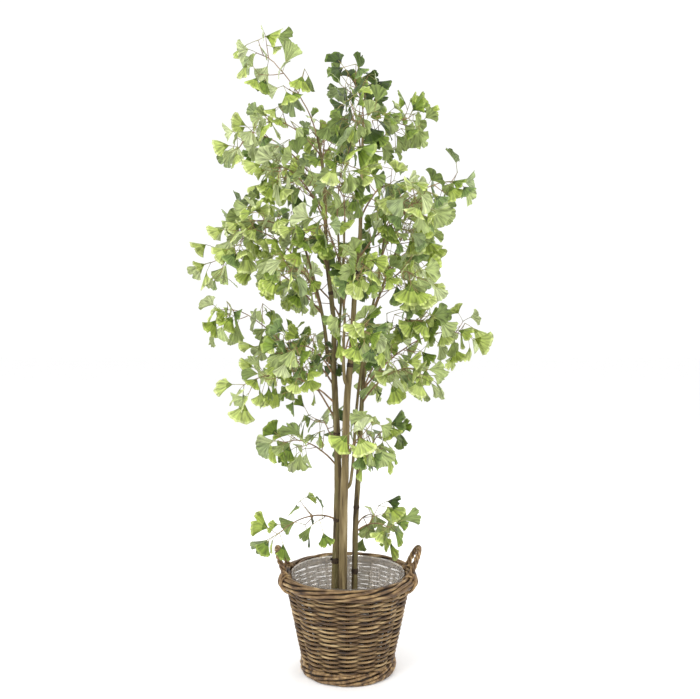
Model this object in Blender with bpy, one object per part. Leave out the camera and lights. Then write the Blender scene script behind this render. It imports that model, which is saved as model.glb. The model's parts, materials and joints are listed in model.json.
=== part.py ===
"""An artificial ginkgo tree: three slim stems set in a plastic pot of cement inside a wicker basket.

Metres, +Z up. The origin is the centre of the basket's flat underside, +X is the tree's right
and -Y its front. Each stem and bough is a tapering limb, and each spray of foliage is a solid of
its own: a twig that branches by a seeded rule, with fan-shaped leaves on thin stalks fused to it.
"""
import math
import random

import bmesh
import bpy
from mathutils import Vector
from mathutils.bvhtree import BVHTree

for leftover in list(bpy.data.objects):
    bpy.data.objects.remove(leftover, do_unlink=True)

# Driving dimensions of the basket
BASKET_HEIGHT = 0.2935
BODY_BOTTOM_RADIUS = 0.1325
BODY_TOP_RADIUS = 0.1865
BODY_WALL = 0.009
BASE_THICKNESS = 0.014
RIM_CENTRE_RADIUS = 0.189
RIM_HALF = 0.018
FOOT_RADIUS = 0.1415
FOOT_HEIGHT = 0.034
HANDLE_HALF_SPAN = 0.055
HANDLE_RISE = 0.064
HANDLE_LEAN = 0.031
HANDLE_RADIUS = 0.0088
LINER_THICKNESS = 0.001
LINER_TOP = 0.286
POT_TOP_RADIUS = 0.098
POT_BOTTOM_RADIUS = 0.080
POT_HEIGHT = 0.150
POT_WALL = 0.003
FILL_BELOW_POT_RIM = 0.018
ROUND_SIDES = 32
GAP = 0.0003
ELBOW_CLEARANCE = 0.003
TAPER_BEND = 1.4

# Driving dimensions of the limbs: points from foot to tip, and a radius at each end
LIMBS = {
    "stem_left": dict(
        path=[(-0.045, 0.010, 0.10), (-0.0395, 0.011, 0.235), (-0.0335, 0.012, 0.409),
              (-0.0305, 0.012, 0.619), (-0.0385, 0.014, 0.809), (-0.0425, 0.016, 0.919),
              (-0.0430, 0.018, 1.049), (-0.0636, 0.020, 1.219), (-0.0714, 0.022, 1.459),
              (-0.0922, 0.024, 1.589)],
        foot=0.0122, tip=0.0036, sides=8, rings=15),
    "stem_middle": dict(
        path=[(-0.0175, -0.016, 0.10), (-0.0150, -0.016, 0.235), (-0.0135, -0.016, 0.459),
              (-0.0080, -0.016, 0.619), (-0.0047, -0.015, 0.769), (0.0030, -0.014, 0.869),
              (0.0125, -0.012, 0.979), (0.0190, -0.010, 1.109), (0.0345, -0.006, 1.249),
              (0.040, -0.002, 1.459), (0.046, 0.002, 1.629)],
        foot=0.0132, tip=0.0034, sides=8, rings=15),
    "stem_right": dict(
        path=[(0.0175, 0.020, 0.10), (0.0200, 0.020, 0.238), (0.0228, 0.021, 0.429),
              (0.0325, 0.023, 0.589), (0.0385, 0.025, 0.739), (0.0468, 0.026, 0.869),
              (0.0555, 0.028, 0.979), (0.0780, 0.032, 1.069), (0.1457, 0.030, 1.249)],
        foot=0.0092, tip=0.0034, sides=8, rings=12),
    "bough_left": dict(
        parent="stem_left", at=0.904, sides=6, rings=6,
        path=[(-0.0654, 0.008, 0.978), (-0.0750, 0.003, 1.049), (-0.100, -0.004, 1.159),
              (-0.130, -0.010, 1.259)],
        foot=0.0062, tip=0.0032),
    "bough_inner": dict(
        parent="stem_left", at=0.914, sides=6, rings=6,
        path=[(-0.0290, 0.036, 0.974), (-0.0240, 0.046, 1.049), (-0.0150, 0.070, 1.209),
              (-0.010, 0.090, 1.349)],
        foot=0.0046, tip=0.0030),
    "bough_middle": dict(
        parent="stem_middle", at=0.844, sides=6, rings=6,
        path=[(-0.0130, -0.034, 0.914), (-0.0125, -0.039, 0.978), (-0.0100, -0.044, 1.049),
              (-0.0208, -0.060, 1.169), (-0.030, -0.075, 1.319)],
        foot=0.0052, tip=0.0030),
    "bough_right": dict(
        parent="stem_middle", at=0.534, sides=6, rings=9,
        path=[(0.0130, -0.010, 0.599), (0.0180, -0.008, 0.659), (0.0270, -0.004, 0.799),
              (0.0400, -0.003, 0.889), (0.0580, -0.006, 1.009), (0.0900, -0.012, 1.159),
              (0.1080, -0.016, 1.299)],
        foot=0.0048, tip=0.0032),
}
PALE_LIMBS = ("stem_middle", "bough_middle")

# Each spray: the limb that carries it, the height it leaves at (None is the limb's tip), its
# bearing in degrees from +X, its reach and rise from root to tip, and its number of leaves
SPRAYS = {
    "low_left": ("stem_left", 0.44, 192, 0.18, -0.035, 8),
    "low_right": ("stem_right", 0.40, 348, 0.10, 0.02, 9),
    "low_back": ("stem_right", 0.41, 60, 0.12, 0.01, 7),
    "left_a": ("stem_left", 0.60, 176, 0.16, 0.07, 11),
    "right_a": ("stem_right", 0.57, 30, 0.09, 0.13, 9),
    "front_a": ("stem_middle", 0.62, 295, 0.13, 0.08, 8),
    "back_a": ("stem_left", 0.62, 112, 0.16, 0.10, 9),
    "left_b": ("stem_left", 0.74, 181, 0.35, 0.33, 13),
    "left_c": ("stem_left", 0.79, 196, 0.275, 0.06, 11),
    "right_b": ("stem_right", 0.83, 2, 0.32, 0.16, 13),
    "right_c": ("stem_right", 0.79, 325, 0.20, 0.10, 11),
    "right_f": ("bough_right", 0.93, 350, 0.19, 0.10, 11),
    "front_b": ("stem_left", 0.87, 238, 0.22, 0.08, 11),
    "front_c": ("bough_middle", 0.93, 285, 0.22, 0.07, 11),
    "back_b": ("stem_left", 0.84, 140, 0.24, 0.10, 11),
    "back_c": ("stem_right", 0.82, 65, 0.24, 0.10, 11),
    "left_d": ("bough_left", 1.06, 180, 0.33, 0.15, 13),
    "left_e": ("bough_left", 1.15, 205, 0.24, 0.14, 11),
    "front_d": ("bough_left", 1.08, 250, 0.24, 0.08, 11),
    "front_e": ("bough_middle", 1.08, 285, 0.24, 0.09, 11),
    "front_f": ("bough_right", 1.06, 300, 0.22, 0.10, 11),
    "right_d": ("stem_right", None, 350, 0.04, 0.06, 9),
    "back_d": ("bough_inner", 1.05, 128, 0.26, 0.10, 11),
    "back_e": ("bough_inner", 1.14, 88, 0.26, 0.12, 11),
    "back_f": ("stem_right", 1.13, 58, 0.24, 0.12, 11),
    "left_f": ("bough_left", None, 178, 0.20, 0.06, 11),
    "left_g": ("stem_left", 1.42, 183, 0.26, 0.17, 12),
    "left_h": ("stem_left", 1.53, 176, 0.17, 0.10, 8),
    "front_g": ("stem_left", 1.33, 235, 0.24, 0.12, 11),
    "front_h": ("bough_middle", None, 277, 0.20, 0.13, 11),
    "front_i": ("bough_right", 1.22, 298, 0.22, 0.13, 11),
    "front_j": ("stem_middle", 1.22, 325, 0.17, 0.09, 10),
    "front_k": ("stem_left", 1.20, 222, 0.17, 0.08, 10),
    "right_e": ("bough_right", None, 358, 0.22, 0.14, 12),
    "back_g": ("bough_inner", None, 95, 0.20, 0.13, 11),
    "back_h": ("stem_left", 1.36, 140, 0.24, 0.12, 11),
    "back_i": ("stem_middle", 1.34, 58, 0.24, 0.12, 11),
    "top_left": ("stem_left", None, 186, 0.18, 0.240, 13),
    "top_middle": ("stem_middle", None, 160, 0.03, 0.12, 12),
    "top_right": ("stem_middle", 1.47, 352, 0.14, 0.16, 12),
    "top_front": ("stem_middle", 1.50, 262, 0.18, 0.10, 11),
    "top_back": ("stem_left", 1.50, 88, 0.18, 0.12, 11),
    "front_l": ("bough_middle", 1.19, 250, 0.16, 0.10, 10),
}

# Driving dimensions of the foliage
ARCH_SHARE = 0.25
SPINE_SEGMENTS = 5
SPINE_ROOT_RADIUS = 0.0034
SPINE_TIP_RADIUS = 0.0016
SIDE_TWIGS = 2
SIDE_TWIG_LENGTH = (0.050, 0.085)
SIDE_TWIG_RADIUS = 0.0017
STALK_LENGTH = (0.028, 0.044)
STALK_HALF_WIDTH = 0.0017
BLADE_LENGTH = (0.062, 0.082)
BLADE_WIDTH_SHARE = (1.20, 1.40)
BLADE_SHOULDER = 0.64
LEAF_THICKNESS = 0.0015
LEAF_ALONG = (0.1, 0.8)
LEAF_DROOP = (0.0, 1.3)
LEAF_ROLL = (0.5, 1.5)
LEAF_CLEARANCE = 0.0006
LEAF_ROOT_SUNK = 0.0012
SHARED_ROOT = 0.010
SPACE_SLACK = 0.020
TWIG_TRIES = 8
LEAF_TRIES = 24
GOLDEN_TURN = math.radians(137.5)
SEED = 41

UP = Vector((0, 0, 1))


def material(name, colour, roughness, alpha=1.0):
    """A Principled material in the part's own colour."""
    made = bpy.data.materials.new(name)
    made.use_nodes = True
    shader = made.node_tree.nodes["Principled BSDF"]
    shader.inputs["Base Color"].default_value = (*colour, 1)
    shader.inputs["Roughness"].default_value = roughness
    shader.inputs["Metallic"].default_value = 0
    shader.inputs["Alpha"].default_value = alpha
    made.diffuse_color = (*colour, alpha)
    return made


WICKER = material("wicker", (0.27, 0.17, 0.095), 0.75)
WICKER_RIM = material("wicker_rim", (0.36, 0.23, 0.13), 0.7)
FILM = material("clear_film", (0.93, 0.95, 0.96), 0.15, 0.35)
POT_PLASTIC = material("pot_plastic", (0.02, 0.02, 0.02), 0.5)
CEMENT = material("cement", (0.33, 0.32, 0.30), 0.9)
DARK_BARK = material("dark_bark", (0.17, 0.13, 0.075), 0.85)
PALE_BARK = material("pale_bark", (0.30, 0.24, 0.16), 0.85)
LEAF_GREEN = material("leaf_green", (0.17, 0.33, 0.06), 0.6)


def mesh_object(name, points, faces, finish):
    """A named object with the mesh of these points and faces."""
    mesh = bpy.data.meshes.new(name)
    mesh.from_pydata([tuple(p) for p in points], [], faces)
    mesh.update()
    made = bpy.data.objects.new(name, mesh)
    bpy.context.scene.collection.objects.link(made)
    if finish:
        mesh.materials.append(finish)
    return made


def turned(name, profile, finish, sides=ROUND_SIDES):
    """A closed solid turned about Z from a closed outline of (radius, height) points.

    The outline runs counter-clockwise with the radius to the right. A point with no radius is a
    single point on the axis.
    """
    points = []
    rings = []
    for radius, height in profile:
        if radius == 0:
            rings.append([len(points)] * sides)
            points.append((0, 0, height))
            continue
        rings.append([len(points) + i for i in range(sides)])
        for i in range(sides):
            turn = 2 * math.pi * i / sides
            points.append((radius * math.cos(turn), radius * math.sin(turn), height))
    faces = []
    closed = profile[0][0] != 0
    for k in range(len(rings) - (0 if closed else 1)):
        low, high = rings[k], rings[(k + 1) % len(rings)]
        for i in range(sides):
            j = (i + 1) % sides
            corners = [low[i], low[j], high[j], high[i]]
            face = list(dict.fromkeys(corners))
            if len(face) > 2:
                faces.append(face)
    made = mesh_object(name, points, faces, finish)
    made.data.shade_smooth()
    made.data.set_sharp_from_angle(angle=math.radians(35))
    return made


def ring_outline(radius, height, half, corners=8):
    """The outline of a ring's section: a flat-topped polygon that reaches half a width out."""
    reach = half / math.cos(math.pi / corners)
    steps = [2 * math.pi * (k + 0.5) / corners for k in range(corners)]
    return [(radius + reach * math.cos(s), height + reach * math.sin(s)) for s in steps]


def tube(points, radii, sides, start_ring=None):
    """Points and faces of a closed tube along a path, with a given first ring if there is one."""
    rings = []
    side = None
    for k, centre in enumerate(points):
        before = points[max(k - 1, 0)]
        after = points[min(k + 1, len(points) - 1)]
        along = (after - before).normalized()
        if side is None:
            side = along.orthogonal().normalized()
        side = (side - along * side.dot(along)).normalized()
        other = along.cross(side)
        ring = []
        for i in range(sides):
            turn = 2 * math.pi * i / sides
            ring.append(centre + (side * math.cos(turn) + other * math.sin(turn)) * radii[k])
        rings.append(ring)
    if start_ring:
        rings[0] = start_ring(rings[0])
    corners = [p for ring in rings for p in ring]
    faces = [list(range(sides))[::-1]]
    for k in range(len(rings) - 1):
        for i in range(sides):
            j = (i + 1) % sides
            faces.append([k * sides + i, k * sides + j, (k + 1) * sides + j, (k + 1) * sides + i])
    last = (len(rings) - 1) * sides
    faces.append([last + i for i in range(sides)])
    return corners, faces


def smooth_path(points, count):
    """Evenly stepped points of a smooth curve through the given points."""
    knots = [Vector(p) for p in points]
    knots = [knots[0] * 2 - knots[1]] + knots + [knots[-1] * 2 - knots[-2]]
    spans = len(knots) - 3
    steps = []
    for k in range(count):
        place = k / (count - 1) * spans
        span = min(int(place), spans - 1)
        t = place - span
        a, b, c, d = knots[span:span + 4]
        steps.append(0.5 * (2 * b + (c - a) * t + (2 * a - 5 * b + 4 * c - d) * t * t
                            + (3 * b - a - 3 * c + d) * t ** 3))
    return steps


def basket_wall_radius(height):
    """The outer radius of the basket's wall at a height."""
    share = height / (BASKET_HEIGHT - 2 * RIM_HALF)
    return BODY_BOTTOM_RADIUS + (BODY_TOP_RADIUS - BODY_BOTTOM_RADIUS) * share


def basket():
    """The woven body, its rolled rim and foot borders, and the clear liner inside."""
    wall_top = BASKET_HEIGHT - 2 * RIM_HALF - GAP
    floor = BASE_THICKNESS
    turned("basket_body", [
        (0, 0), (BODY_BOTTOM_RADIUS, 0), (basket_wall_radius(wall_top), wall_top),
        (basket_wall_radius(wall_top) - BODY_WALL, wall_top),
        (basket_wall_radius(floor) - BODY_WALL, floor), (0, floor)], WICKER)
    turned("basket_rim",
           ring_outline(RIM_CENTRE_RADIUS, BASKET_HEIGHT - RIM_HALF, RIM_HALF), WICKER_RIM)
    inner_low = basket_wall_radius(0) + GAP
    inner_high = basket_wall_radius(FOOT_HEIGHT) + GAP
    chamfer = 0.006
    turned("basket_foot", [
        (inner_low, 0), (FOOT_RADIUS - chamfer / 2, 0), (FOOT_RADIUS, chamfer),
        (FOOT_RADIUS + chamfer / 2, FOOT_HEIGHT - chamfer),
        (inner_high + chamfer / 2, FOOT_HEIGHT), (inner_high, FOOT_HEIGHT)], WICKER)
    outer_low = basket_wall_radius(floor) - BODY_WALL - GAP * 4
    outer_high = RIM_CENTRE_RADIUS - RIM_HALF - GAP * 6
    turned("liner", [
        (0, floor + GAP), (outer_low, floor + GAP), (outer_high, wall_top),
        (outer_high, LINER_TOP), (outer_high - LINER_THICKNESS, LINER_TOP),
        (outer_high - LINER_THICKNESS, wall_top),
        (outer_low - LINER_THICKNESS, floor + GAP + LINER_THICKNESS),
        (0, floor + GAP + LINER_THICKNESS)], FILM)


def handle(name, way):
    """A rope-like handle that stands on the rim and leans a little outwards."""
    foot_x = math.sqrt(RIM_CENTRE_RADIUS ** 2 - HANDLE_HALF_SPAN ** 2)
    steps = 12
    path = []
    for k in range(steps + 1):
        turn = math.pi * k / steps
        lift = math.sin(turn)
        path.append(Vector((way * (foot_x + HANDLE_LEAN * lift),
                            -HANDLE_HALF_SPAN * math.cos(turn),
                            BASKET_HEIGHT + GAP + HANDLE_RISE * lift)))
    points, faces = tube(path, [HANDLE_RADIUS] * len(path), 6)
    for p in points:
        p.z = max(p.z, BASKET_HEIGHT + GAP)
    made = mesh_object(name, points, faces, WICKER_RIM)
    tidy = bmesh.new()
    tidy.from_mesh(made.data)
    bmesh.ops.remove_doubles(tidy, verts=tidy.verts, dist=0.0001)
    bmesh.ops.recalc_face_normals(tidy, faces=tidy.faces)
    tidy.to_mesh(made.data)
    tidy.free()


def pot_and_fill():
    """The plastic pot that stands on the liner, and the cement that the stems are set in."""
    stand = BASE_THICKNESS + LINER_THICKNESS + 2 * GAP
    rim = stand + POT_HEIGHT
    lip = 0.006
    turned("inner_pot", [
        (0, stand), (POT_BOTTOM_RADIUS, stand), (POT_TOP_RADIUS, rim - 2 * lip),
        (POT_TOP_RADIUS + lip, rim - 2 * lip), (POT_TOP_RADIUS + lip, rim),
        (POT_TOP_RADIUS - POT_WALL, rim), (POT_BOTTOM_RADIUS - POT_WALL, stand + POT_WALL),
        (0, stand + POT_WALL)], POT_PLASTIC, 24)
    slope = (POT_TOP_RADIUS - POT_BOTTOM_RADIUS) / (POT_HEIGHT - POT_WALL)
    low = stand + POT_WALL + GAP
    high = rim - FILL_BELOW_POT_RIM
    inset = POT_WALL + 4 * GAP
    fill = turned("cement_fill", [
        (0, low), (POT_BOTTOM_RADIUS - inset, low),
        (POT_BOTTOM_RADIUS - inset + slope * (high - low), high), (0, high)], CEMENT, 24)
    for name in ("stem_left", "stem_middle", "stem_right"):
        limb = LIMBS[name]
        foot, above = Vector(limb["path"][0]), Vector(limb["path"][1])
        along = (above - foot).normalized()
        points, faces = tube([foot - along * 0.002, above], [limb["foot"] + 2 * GAP] * 2, limb["sides"])
        cutter = mesh_object(name + "_socket", points, faces, None)
        cutter.hide_render = True
        cutter.display_type = "WIRE"
        cut = fill.modifiers.new(name + "_socket", "BOOLEAN")
        cut.operation = "DIFFERENCE"
        cut.solver = "EXACT"
        cut.object = cutter


def solid_tree(points, faces):
    """A search tree of a closed mesh, to test what touches it."""
    return BVHTree.FromPolygons([tuple(p) for p in points], faces)


def seated_tube(path, radii, sides, seat):
    """A tube whose first ring is set back along its path until it just clears its carrier."""
    along = (path[1] - path[0]).normalized()
    for step in range(40):
        gap = GAP + 0.0001 * step

        def on_the_carrier(ring):
            placed = []
            for corner in ring:
                start = corner + along * 0.03
                hit = seat.ray_cast(start, -along, 0.06)[0]
                foot = hit if hit else corner + along * radii[0]
                placed.append(foot + along * gap)
            return placed

        points, faces = tube(path, radii, sides, on_the_carrier)
        tree = solid_tree(points, faces)
        near = min(seat.find_nearest(p)[3] for p in points)
        if near > 0.9 * GAP and not tree.overlap(seat):
            return points, faces
    raise RuntimeError(f"a root doesn't clear its carrier at {tuple(path[0])}, {near}")


LIMB_PATHS = {}
LIMB_TREES = {}


def limb_radius(name, share):
    """A limb's radius at a share of its length."""
    limb = LIMBS[name]
    return limb["foot"] + (limb["tip"] - limb["foot"]) * share ** TAPER_BEND


def place_on_limb(name, height):
    """The point on a limb's axis at a height, or at its tip, and the limb's direction there."""
    path = LIMB_PATHS[name]
    if height is None:
        return path[-1], (path[-1] - path[-2]).normalized()
    for low, high in zip(path, path[1:]):
        if low.z <= height <= high.z:
            share = (height - low.z) / (high.z - low.z)
            return low.lerp(high, share), (high - low).normalized()
    raise ValueError(name + " doesn't reach this height")


def radius_on_limb(name, height):
    """A limb's radius at a height, or at its tip."""
    path = LIMB_PATHS[name]
    if height is None:
        return LIMBS[name]["tip"]
    return limb_radius(name, (height - path[0].z) / (path[-1].z - path[0].z))


def limb(name, finish):
    """A stem or bough as one tapering limb, its root seated on the limb that carries it."""
    size = LIMBS[name]
    points = [Vector(p) for p in size["path"]]
    carrier = size.get("parent")
    if carrier:
        root = place_on_limb(carrier, size["at"])[0]
        out = (points[0] - root) * Vector((1, 1, 0))
        clear = limb_radius(carrier, 0.5) + size["foot"] + ELBOW_CLEARANCE
        elbow = root + (out.normalized() + UP) * clear
        path = [root] + smooth_path([elbow] + points, size["rings"])
    else:
        path = smooth_path(points, size["rings"])
    LIMB_PATHS[name] = path
    radii = [limb_radius(name, k / (len(path) - 1)) for k in range(len(path))]
    if carrier:
        corners, faces = seated_tube(path, radii, size["sides"], LIMB_TREES[carrier])
    else:
        corners, faces = tube(path, radii, size["sides"])
    LIMB_TREES[name] = solid_tree(corners, faces)
    made = mesh_object(name, corners, faces, finish)
    made.data.shade_smooth()
    made.data.set_sharp_from_angle(angle=math.radians(50))


def spine_path(name):
    """A spray's main twig: it climbs from its limb, arches over and ends at its tip."""
    carrier, height, bearing, reach, rise, _ = SPRAYS[name]
    root, limb_way = place_on_limb(carrier, height)
    out = Vector((math.cos(math.radians(bearing)), math.sin(math.radians(bearing)), 0))
    arch = ARCH_SHARE * reach
    if height is None:
        root = root + limb_way * GAP
        second = root + limb_way * 0.3 * math.hypot(reach, rise)
    else:
        second = root + out * 0.30 * reach + UP * (0.30 * rise + arch)
    third = root + out * 0.72 * reach + UP * (0.85 * rise + 0.9 * arch)
    end = root + out * reach + UP * rise
    path = []
    for k in range(SPINE_SEGMENTS + 1):
        t = k / SPINE_SEGMENTS
        path.append(root * (1 - t) ** 3 + second * 3 * t * (1 - t) ** 2
                    + third * 3 * t * t * (1 - t) + end * t ** 3)
    return path


def distance_to_path(point, path):
    """The distance from a point to the nearest stretch of a path."""
    best = math.inf
    for a, b in zip(path, path[1:]):
        run = b - a
        share = max(0.0, min(1.0, (point - a).dot(run) / run.length_squared))
        best = min(best, (point - a - run * share).length)
    return best


def in_own_space(points, name, spines):
    """Whether points lie no nearer to another spray's main twig than to their own."""
    for point in points:
        own = distance_to_path(point, spines[name]) - SPACE_SLACK
        if own <= 0:
            continue
        for other, path in spines.items():
            if other != name and distance_to_path(point, path) < own:
                return False
    return True


def leaf_solid(root, way, face, sizes, swell=0.0, skip=0.0):
    """Points and faces of one leaf: a thin stalk that widens into a fan, thickest at its base.

    Its underside is flat and its upper side rises to one point. swell makes every side that much
    fuller and skip leaves out that much of the stalk's root, for the tests of what it would touch.
    """
    stalk_length, blade_length, width = sizes
    side = way.cross(face).normalized()
    half = width / 2 + swell
    half_stalk = STALK_HALF_WIDTH + swell
    neck = root + way * stalk_length - face * swell
    shoulder = neck + way * blade_length * BLADE_SHOULDER
    outline = [root + way * skip - face * swell, neck + side * half_stalk,
               shoulder + side * half, neck + way * (blade_length + swell),
               shoulder - side * half, neck - side * half_stalk]
    peak = neck + way * blade_length * 0.2 + face * (LEAF_THICKNESS + 2 * swell)
    count = len(outline)
    faces = [[k, (k + 1) % count, count] for k in range(count)]
    faces.append([0, 5, 1])
    faces.append([1, 5, 4, 2])
    faces.append([2, 4, 3])
    return outline + [peak], faces


def leaf_frame(rng, along, turn):
    """Which way a leaf leaves its twig and which way it faces."""
    side = along.orthogonal().normalized()
    other = along.cross(side)
    radial = side * math.cos(turn) + other * math.sin(turn)
    way = radial + along * rng.uniform(*LEAF_ALONG) - UP * rng.uniform(*LEAF_DROOP)
    way.normalize()
    face = UP - way * UP.dot(way)
    if face.length < 0.2:
        face = along - way * along.dot(way)
    face.normalize()
    roll = rng.choice((-1, 1)) * rng.uniform(*LEAF_ROLL)
    face = (face * math.cos(roll) + way.cross(face) * math.sin(roll)).normalized()
    return way, face


def hand_space(way):
    """The block of air in and around a handle's loop, which leaves stay out of."""
    near = way * (RIM_CENTRE_RADIUS - 2 * RIM_HALF)
    far = way * (RIM_CENTRE_RADIUS + 2 * RIM_HALF)
    top = BASKET_HEIGHT + HANDLE_RISE
    points = [(x, y, z) for x in (near, far) for y in (-HANDLE_HALF_SPAN, HANDLE_HALF_SPAN)
              for z in (BASKET_HEIGHT, top)]
    faces = [(0, 1, 3, 2), (4, 5, 7, 6), (0, 1, 5, 4), (2, 3, 7, 6), (0, 2, 6, 4), (1, 3, 7, 5)]
    return solid_tree(points, faces)


class Crown:
    """What has grown so far, so that no leaf or twig touches a limb or another spray."""

    def __init__(self, spines):
        self.spines = spines
        self.grown = []
        self.solids = []
        for made in bpy.context.scene.objects:
            if not made.hide_render:
                corners = [corner.co for corner in made.data.vertices]
                faces = [face.vertices for face in made.data.polygons]
                self.solids.append(solid_tree(corners, faces))
        self.solids += [hand_space(-1), hand_space(1)]

    def is_free(self, whole, trimmed, spray):
        """Whether a new piece clears every limb and all that has grown."""
        points, faces = whole
        centre = sum(points, Vector()) / len(points)
        size = max((p - centre).length for p in points)
        whole_tree = solid_tree(points, faces)
        trimmed_tree = solid_tree(*trimmed)
        for tree in self.solids:
            if whole_tree.overlap(tree):
                return False
        for other, middle, reach, other_whole, other_trimmed in self.grown:
            if (middle - centre).length > reach + size:
                continue
            if other == spray:
                if trimmed_tree.overlap(other_trimmed):
                    return False
            elif whole_tree.overlap(other_whole):
                return False
        return True

    def add(self, whole, trimmed, spray):
        """Keep a new piece."""
        points, faces = whole
        centre = sum(points, Vector()) / len(points)
        size = max((p - centre).length for p in points)
        self.grown.append((spray, centre, size, solid_tree(points, faces), solid_tree(*trimmed)))


def grow_side_twig(rng, crown, spray, path, share, turn):
    """One side twig from a share of the main twig, or None where there is no room."""
    place = share * SPINE_SEGMENTS
    k = min(int(place), SPINE_SEGMENTS - 1)
    root = path[k].lerp(path[k + 1], place - k)
    along = (path[k + 1] - path[k]).normalized()
    side = along.orthogonal().normalized()
    other = along.cross(side)
    for attempt in range(TWIG_TRIES):
        angle = turn + attempt * 0.6
        radial = side * math.cos(angle) + other * math.sin(angle)
        way = (radial + along * 0.55 + UP * 0.25).normalized()
        length = rng.uniform(*SIDE_TWIG_LENGTH) * (1.1 - 0.4 * share)
        end = root + way * length
        trimmed = tube([root + way * SHARED_ROOT, end], [SIDE_TWIG_RADIUS + LEAF_CLEARANCE] * 2, 3)
        if not in_own_space([end], spray, crown.spines):
            continue
        if crown.is_free(trimmed, trimmed, spray):
            crown.add(trimmed, trimmed, spray)
            return root, end
    return None


def grow_leaf(rng, crown, spray, root, along, turn):
    """One leaf at a node, or None where there is no room for it."""
    for attempt in range(LEAF_TRIES):
        way, face = leaf_frame(rng, along, turn + attempt * 0.9)
        blade_length = rng.uniform(*BLADE_LENGTH) * (1 - 0.012 * attempt)
        sizes = (rng.uniform(*STALK_LENGTH), blade_length,
                 blade_length * rng.uniform(*BLADE_WIDTH_SHARE))
        sunk = root - way * LEAF_ROOT_SUNK
        whole = leaf_solid(sunk, way, face, sizes, swell=LEAF_CLEARANCE)
        if not in_own_space(whole[0][1:6], spray, crown.spines):
            continue
        trimmed = leaf_solid(sunk, way, face, sizes, swell=LEAF_CLEARANCE, skip=SHARED_ROOT)
        if crown.is_free(whole, trimmed, spray):
            crown.add(whole, trimmed, spray)
            return leaf_solid(sunk, way, face, sizes)
    return None


def fuse(name, body, pieces, finish):
    """Join closed pieces to a body by one Boolean union, applied, and drop the pieces."""
    base = mesh_object(name, *body, finish)
    group = bpy.data.collections.new(name + "_pieces")
    bpy.context.scene.collection.children.link(group)
    for k, (points, faces) in enumerate(pieces):
        piece = mesh_object(f"{name}_{k}", points, faces, finish)
        bpy.context.scene.collection.objects.unlink(piece)
        group.objects.link(piece)
    union = base.modifiers.new("union", "BOOLEAN")
    union.operation = "UNION"
    union.operand_type = "COLLECTION"
    union.collection = group
    union.solver = "EXACT"
    evaluated = base.evaluated_get(bpy.context.evaluated_depsgraph_get())
    joined = bpy.data.meshes.new_from_object(evaluated)
    base.modifiers.clear()
    base.data = joined
    for piece in list(group.objects):
        bpy.data.objects.remove(piece, do_unlink=True)
    bpy.data.collections.remove(group)


def spray_nodes(path, twigs):
    """The places where leaves stand: twig tips, the main twig's tip and points along it."""
    nodes = [(end, (end - root).normalized(), 2) for root, end in twigs]
    nodes.append((path[-1], (path[-1] - path[-2]).normalized(), 3))
    for share in (0.80, 0.62, 0.45, 0.30):
        place = share * SPINE_SEGMENTS
        k = int(place)
        nodes.append((path[k].lerp(path[k + 1], place - k), (path[k + 1] - path[k]).normalized(), 2))
    for root, end in twigs:
        nodes.append((root.lerp(end, 0.55), (end - root).normalized(), 1))
    return nodes


def spray(name, number, crown):
    """One spray of foliage as a single solid."""
    carrier, height, _, _, _, leaf_count = SPRAYS[name]
    rng = random.Random(SEED + 101 * number)
    path = crown.spines[name]
    root_radius = min(SPINE_ROOT_RADIUS, 0.6 * radius_on_limb(carrier, height))
    radii = [root_radius + (SPINE_TIP_RADIUS - root_radius) * k / SPINE_SEGMENTS
             for k in range(SPINE_SEGMENTS + 1)]
    if height is None:
        limb_way = place_on_limb(carrier, None)[1]
        body = tube(path, radii, 3,
                    lambda ring: [p - limb_way * (p - path[0]).dot(limb_way) for p in ring])
    else:
        body = seated_tube(path, radii, 3, LIMB_TREES[carrier])
    turn = rng.uniform(0, 2 * math.pi)
    twigs = []
    for k in range(SIDE_TWIGS):
        turn += GOLDEN_TURN
        share = 0.40 + 0.48 * k / (SIDE_TWIGS - 1)
        twig = grow_side_twig(rng, crown, name, path, share, turn)
        if twig:
            twigs.append(twig)
    pieces = []
    for root, end in twigs:
        pieces.append(tube([root, end], [SIDE_TWIG_RADIUS, SIDE_TWIG_RADIUS * 0.85], 3))
    grown = 0
    nodes = spray_nodes(path, twigs)
    for place, along, count in nodes:
        for _ in range(count):
            if grown == leaf_count:
                break
            turn += GOLDEN_TURN
            leaf = grow_leaf(rng, crown, name, place - along * LEAF_ROOT_SUNK, along, turn)
            if leaf:
                pieces.append(leaf)
                grown += 1
    fuse("foliage_" + name, body, pieces, LEAF_GREEN)
    return grown


def crown_of_sprays():
    """Every spray in turn, after the main twigs of all of them are laid out."""
    spines = {name: spine_path(name) for name in SPRAYS}
    crown = Crown(spines)
    for name in SPRAYS:
        radii = [SPINE_ROOT_RADIUS + LEAF_CLEARANCE] * len(spines[name])
        points, faces = tube(spines[name], radii, 3)
        trimmed = tube([p for p in spines[name][1:-1]], radii[1:-1], 3)
        crown.add((points, faces), trimmed, name)
    total = sum(spray(name, k, crown) for k, name in enumerate(SPRAYS))
    print("leaves", total)


basket()
handle("handle_left", -1)
handle("handle_right", 1)
for limb_name in LIMBS:
    limb(limb_name, PALE_BARK if limb_name in PALE_LIMBS else DARK_BARK)
pot_and_fill()
crown_of_sprays()
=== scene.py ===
# %% [markdown]
# # An artificial ginkgo tree in a wicker basket
#
# The tree is about 1.9 m tall: slim stems that look like real bark, wired twigs with cloth leaves
# shaped like small fans, and a basket of grey-brown cane with two rope-like handles and a clear
# liner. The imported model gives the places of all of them. This lesson dresses each one.

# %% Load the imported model
import json
import math
import random

import bpy
import numpy as np
from mathutils import Matrix, Vector, noise
from mathutils.bvhtree import BVHTree

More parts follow.
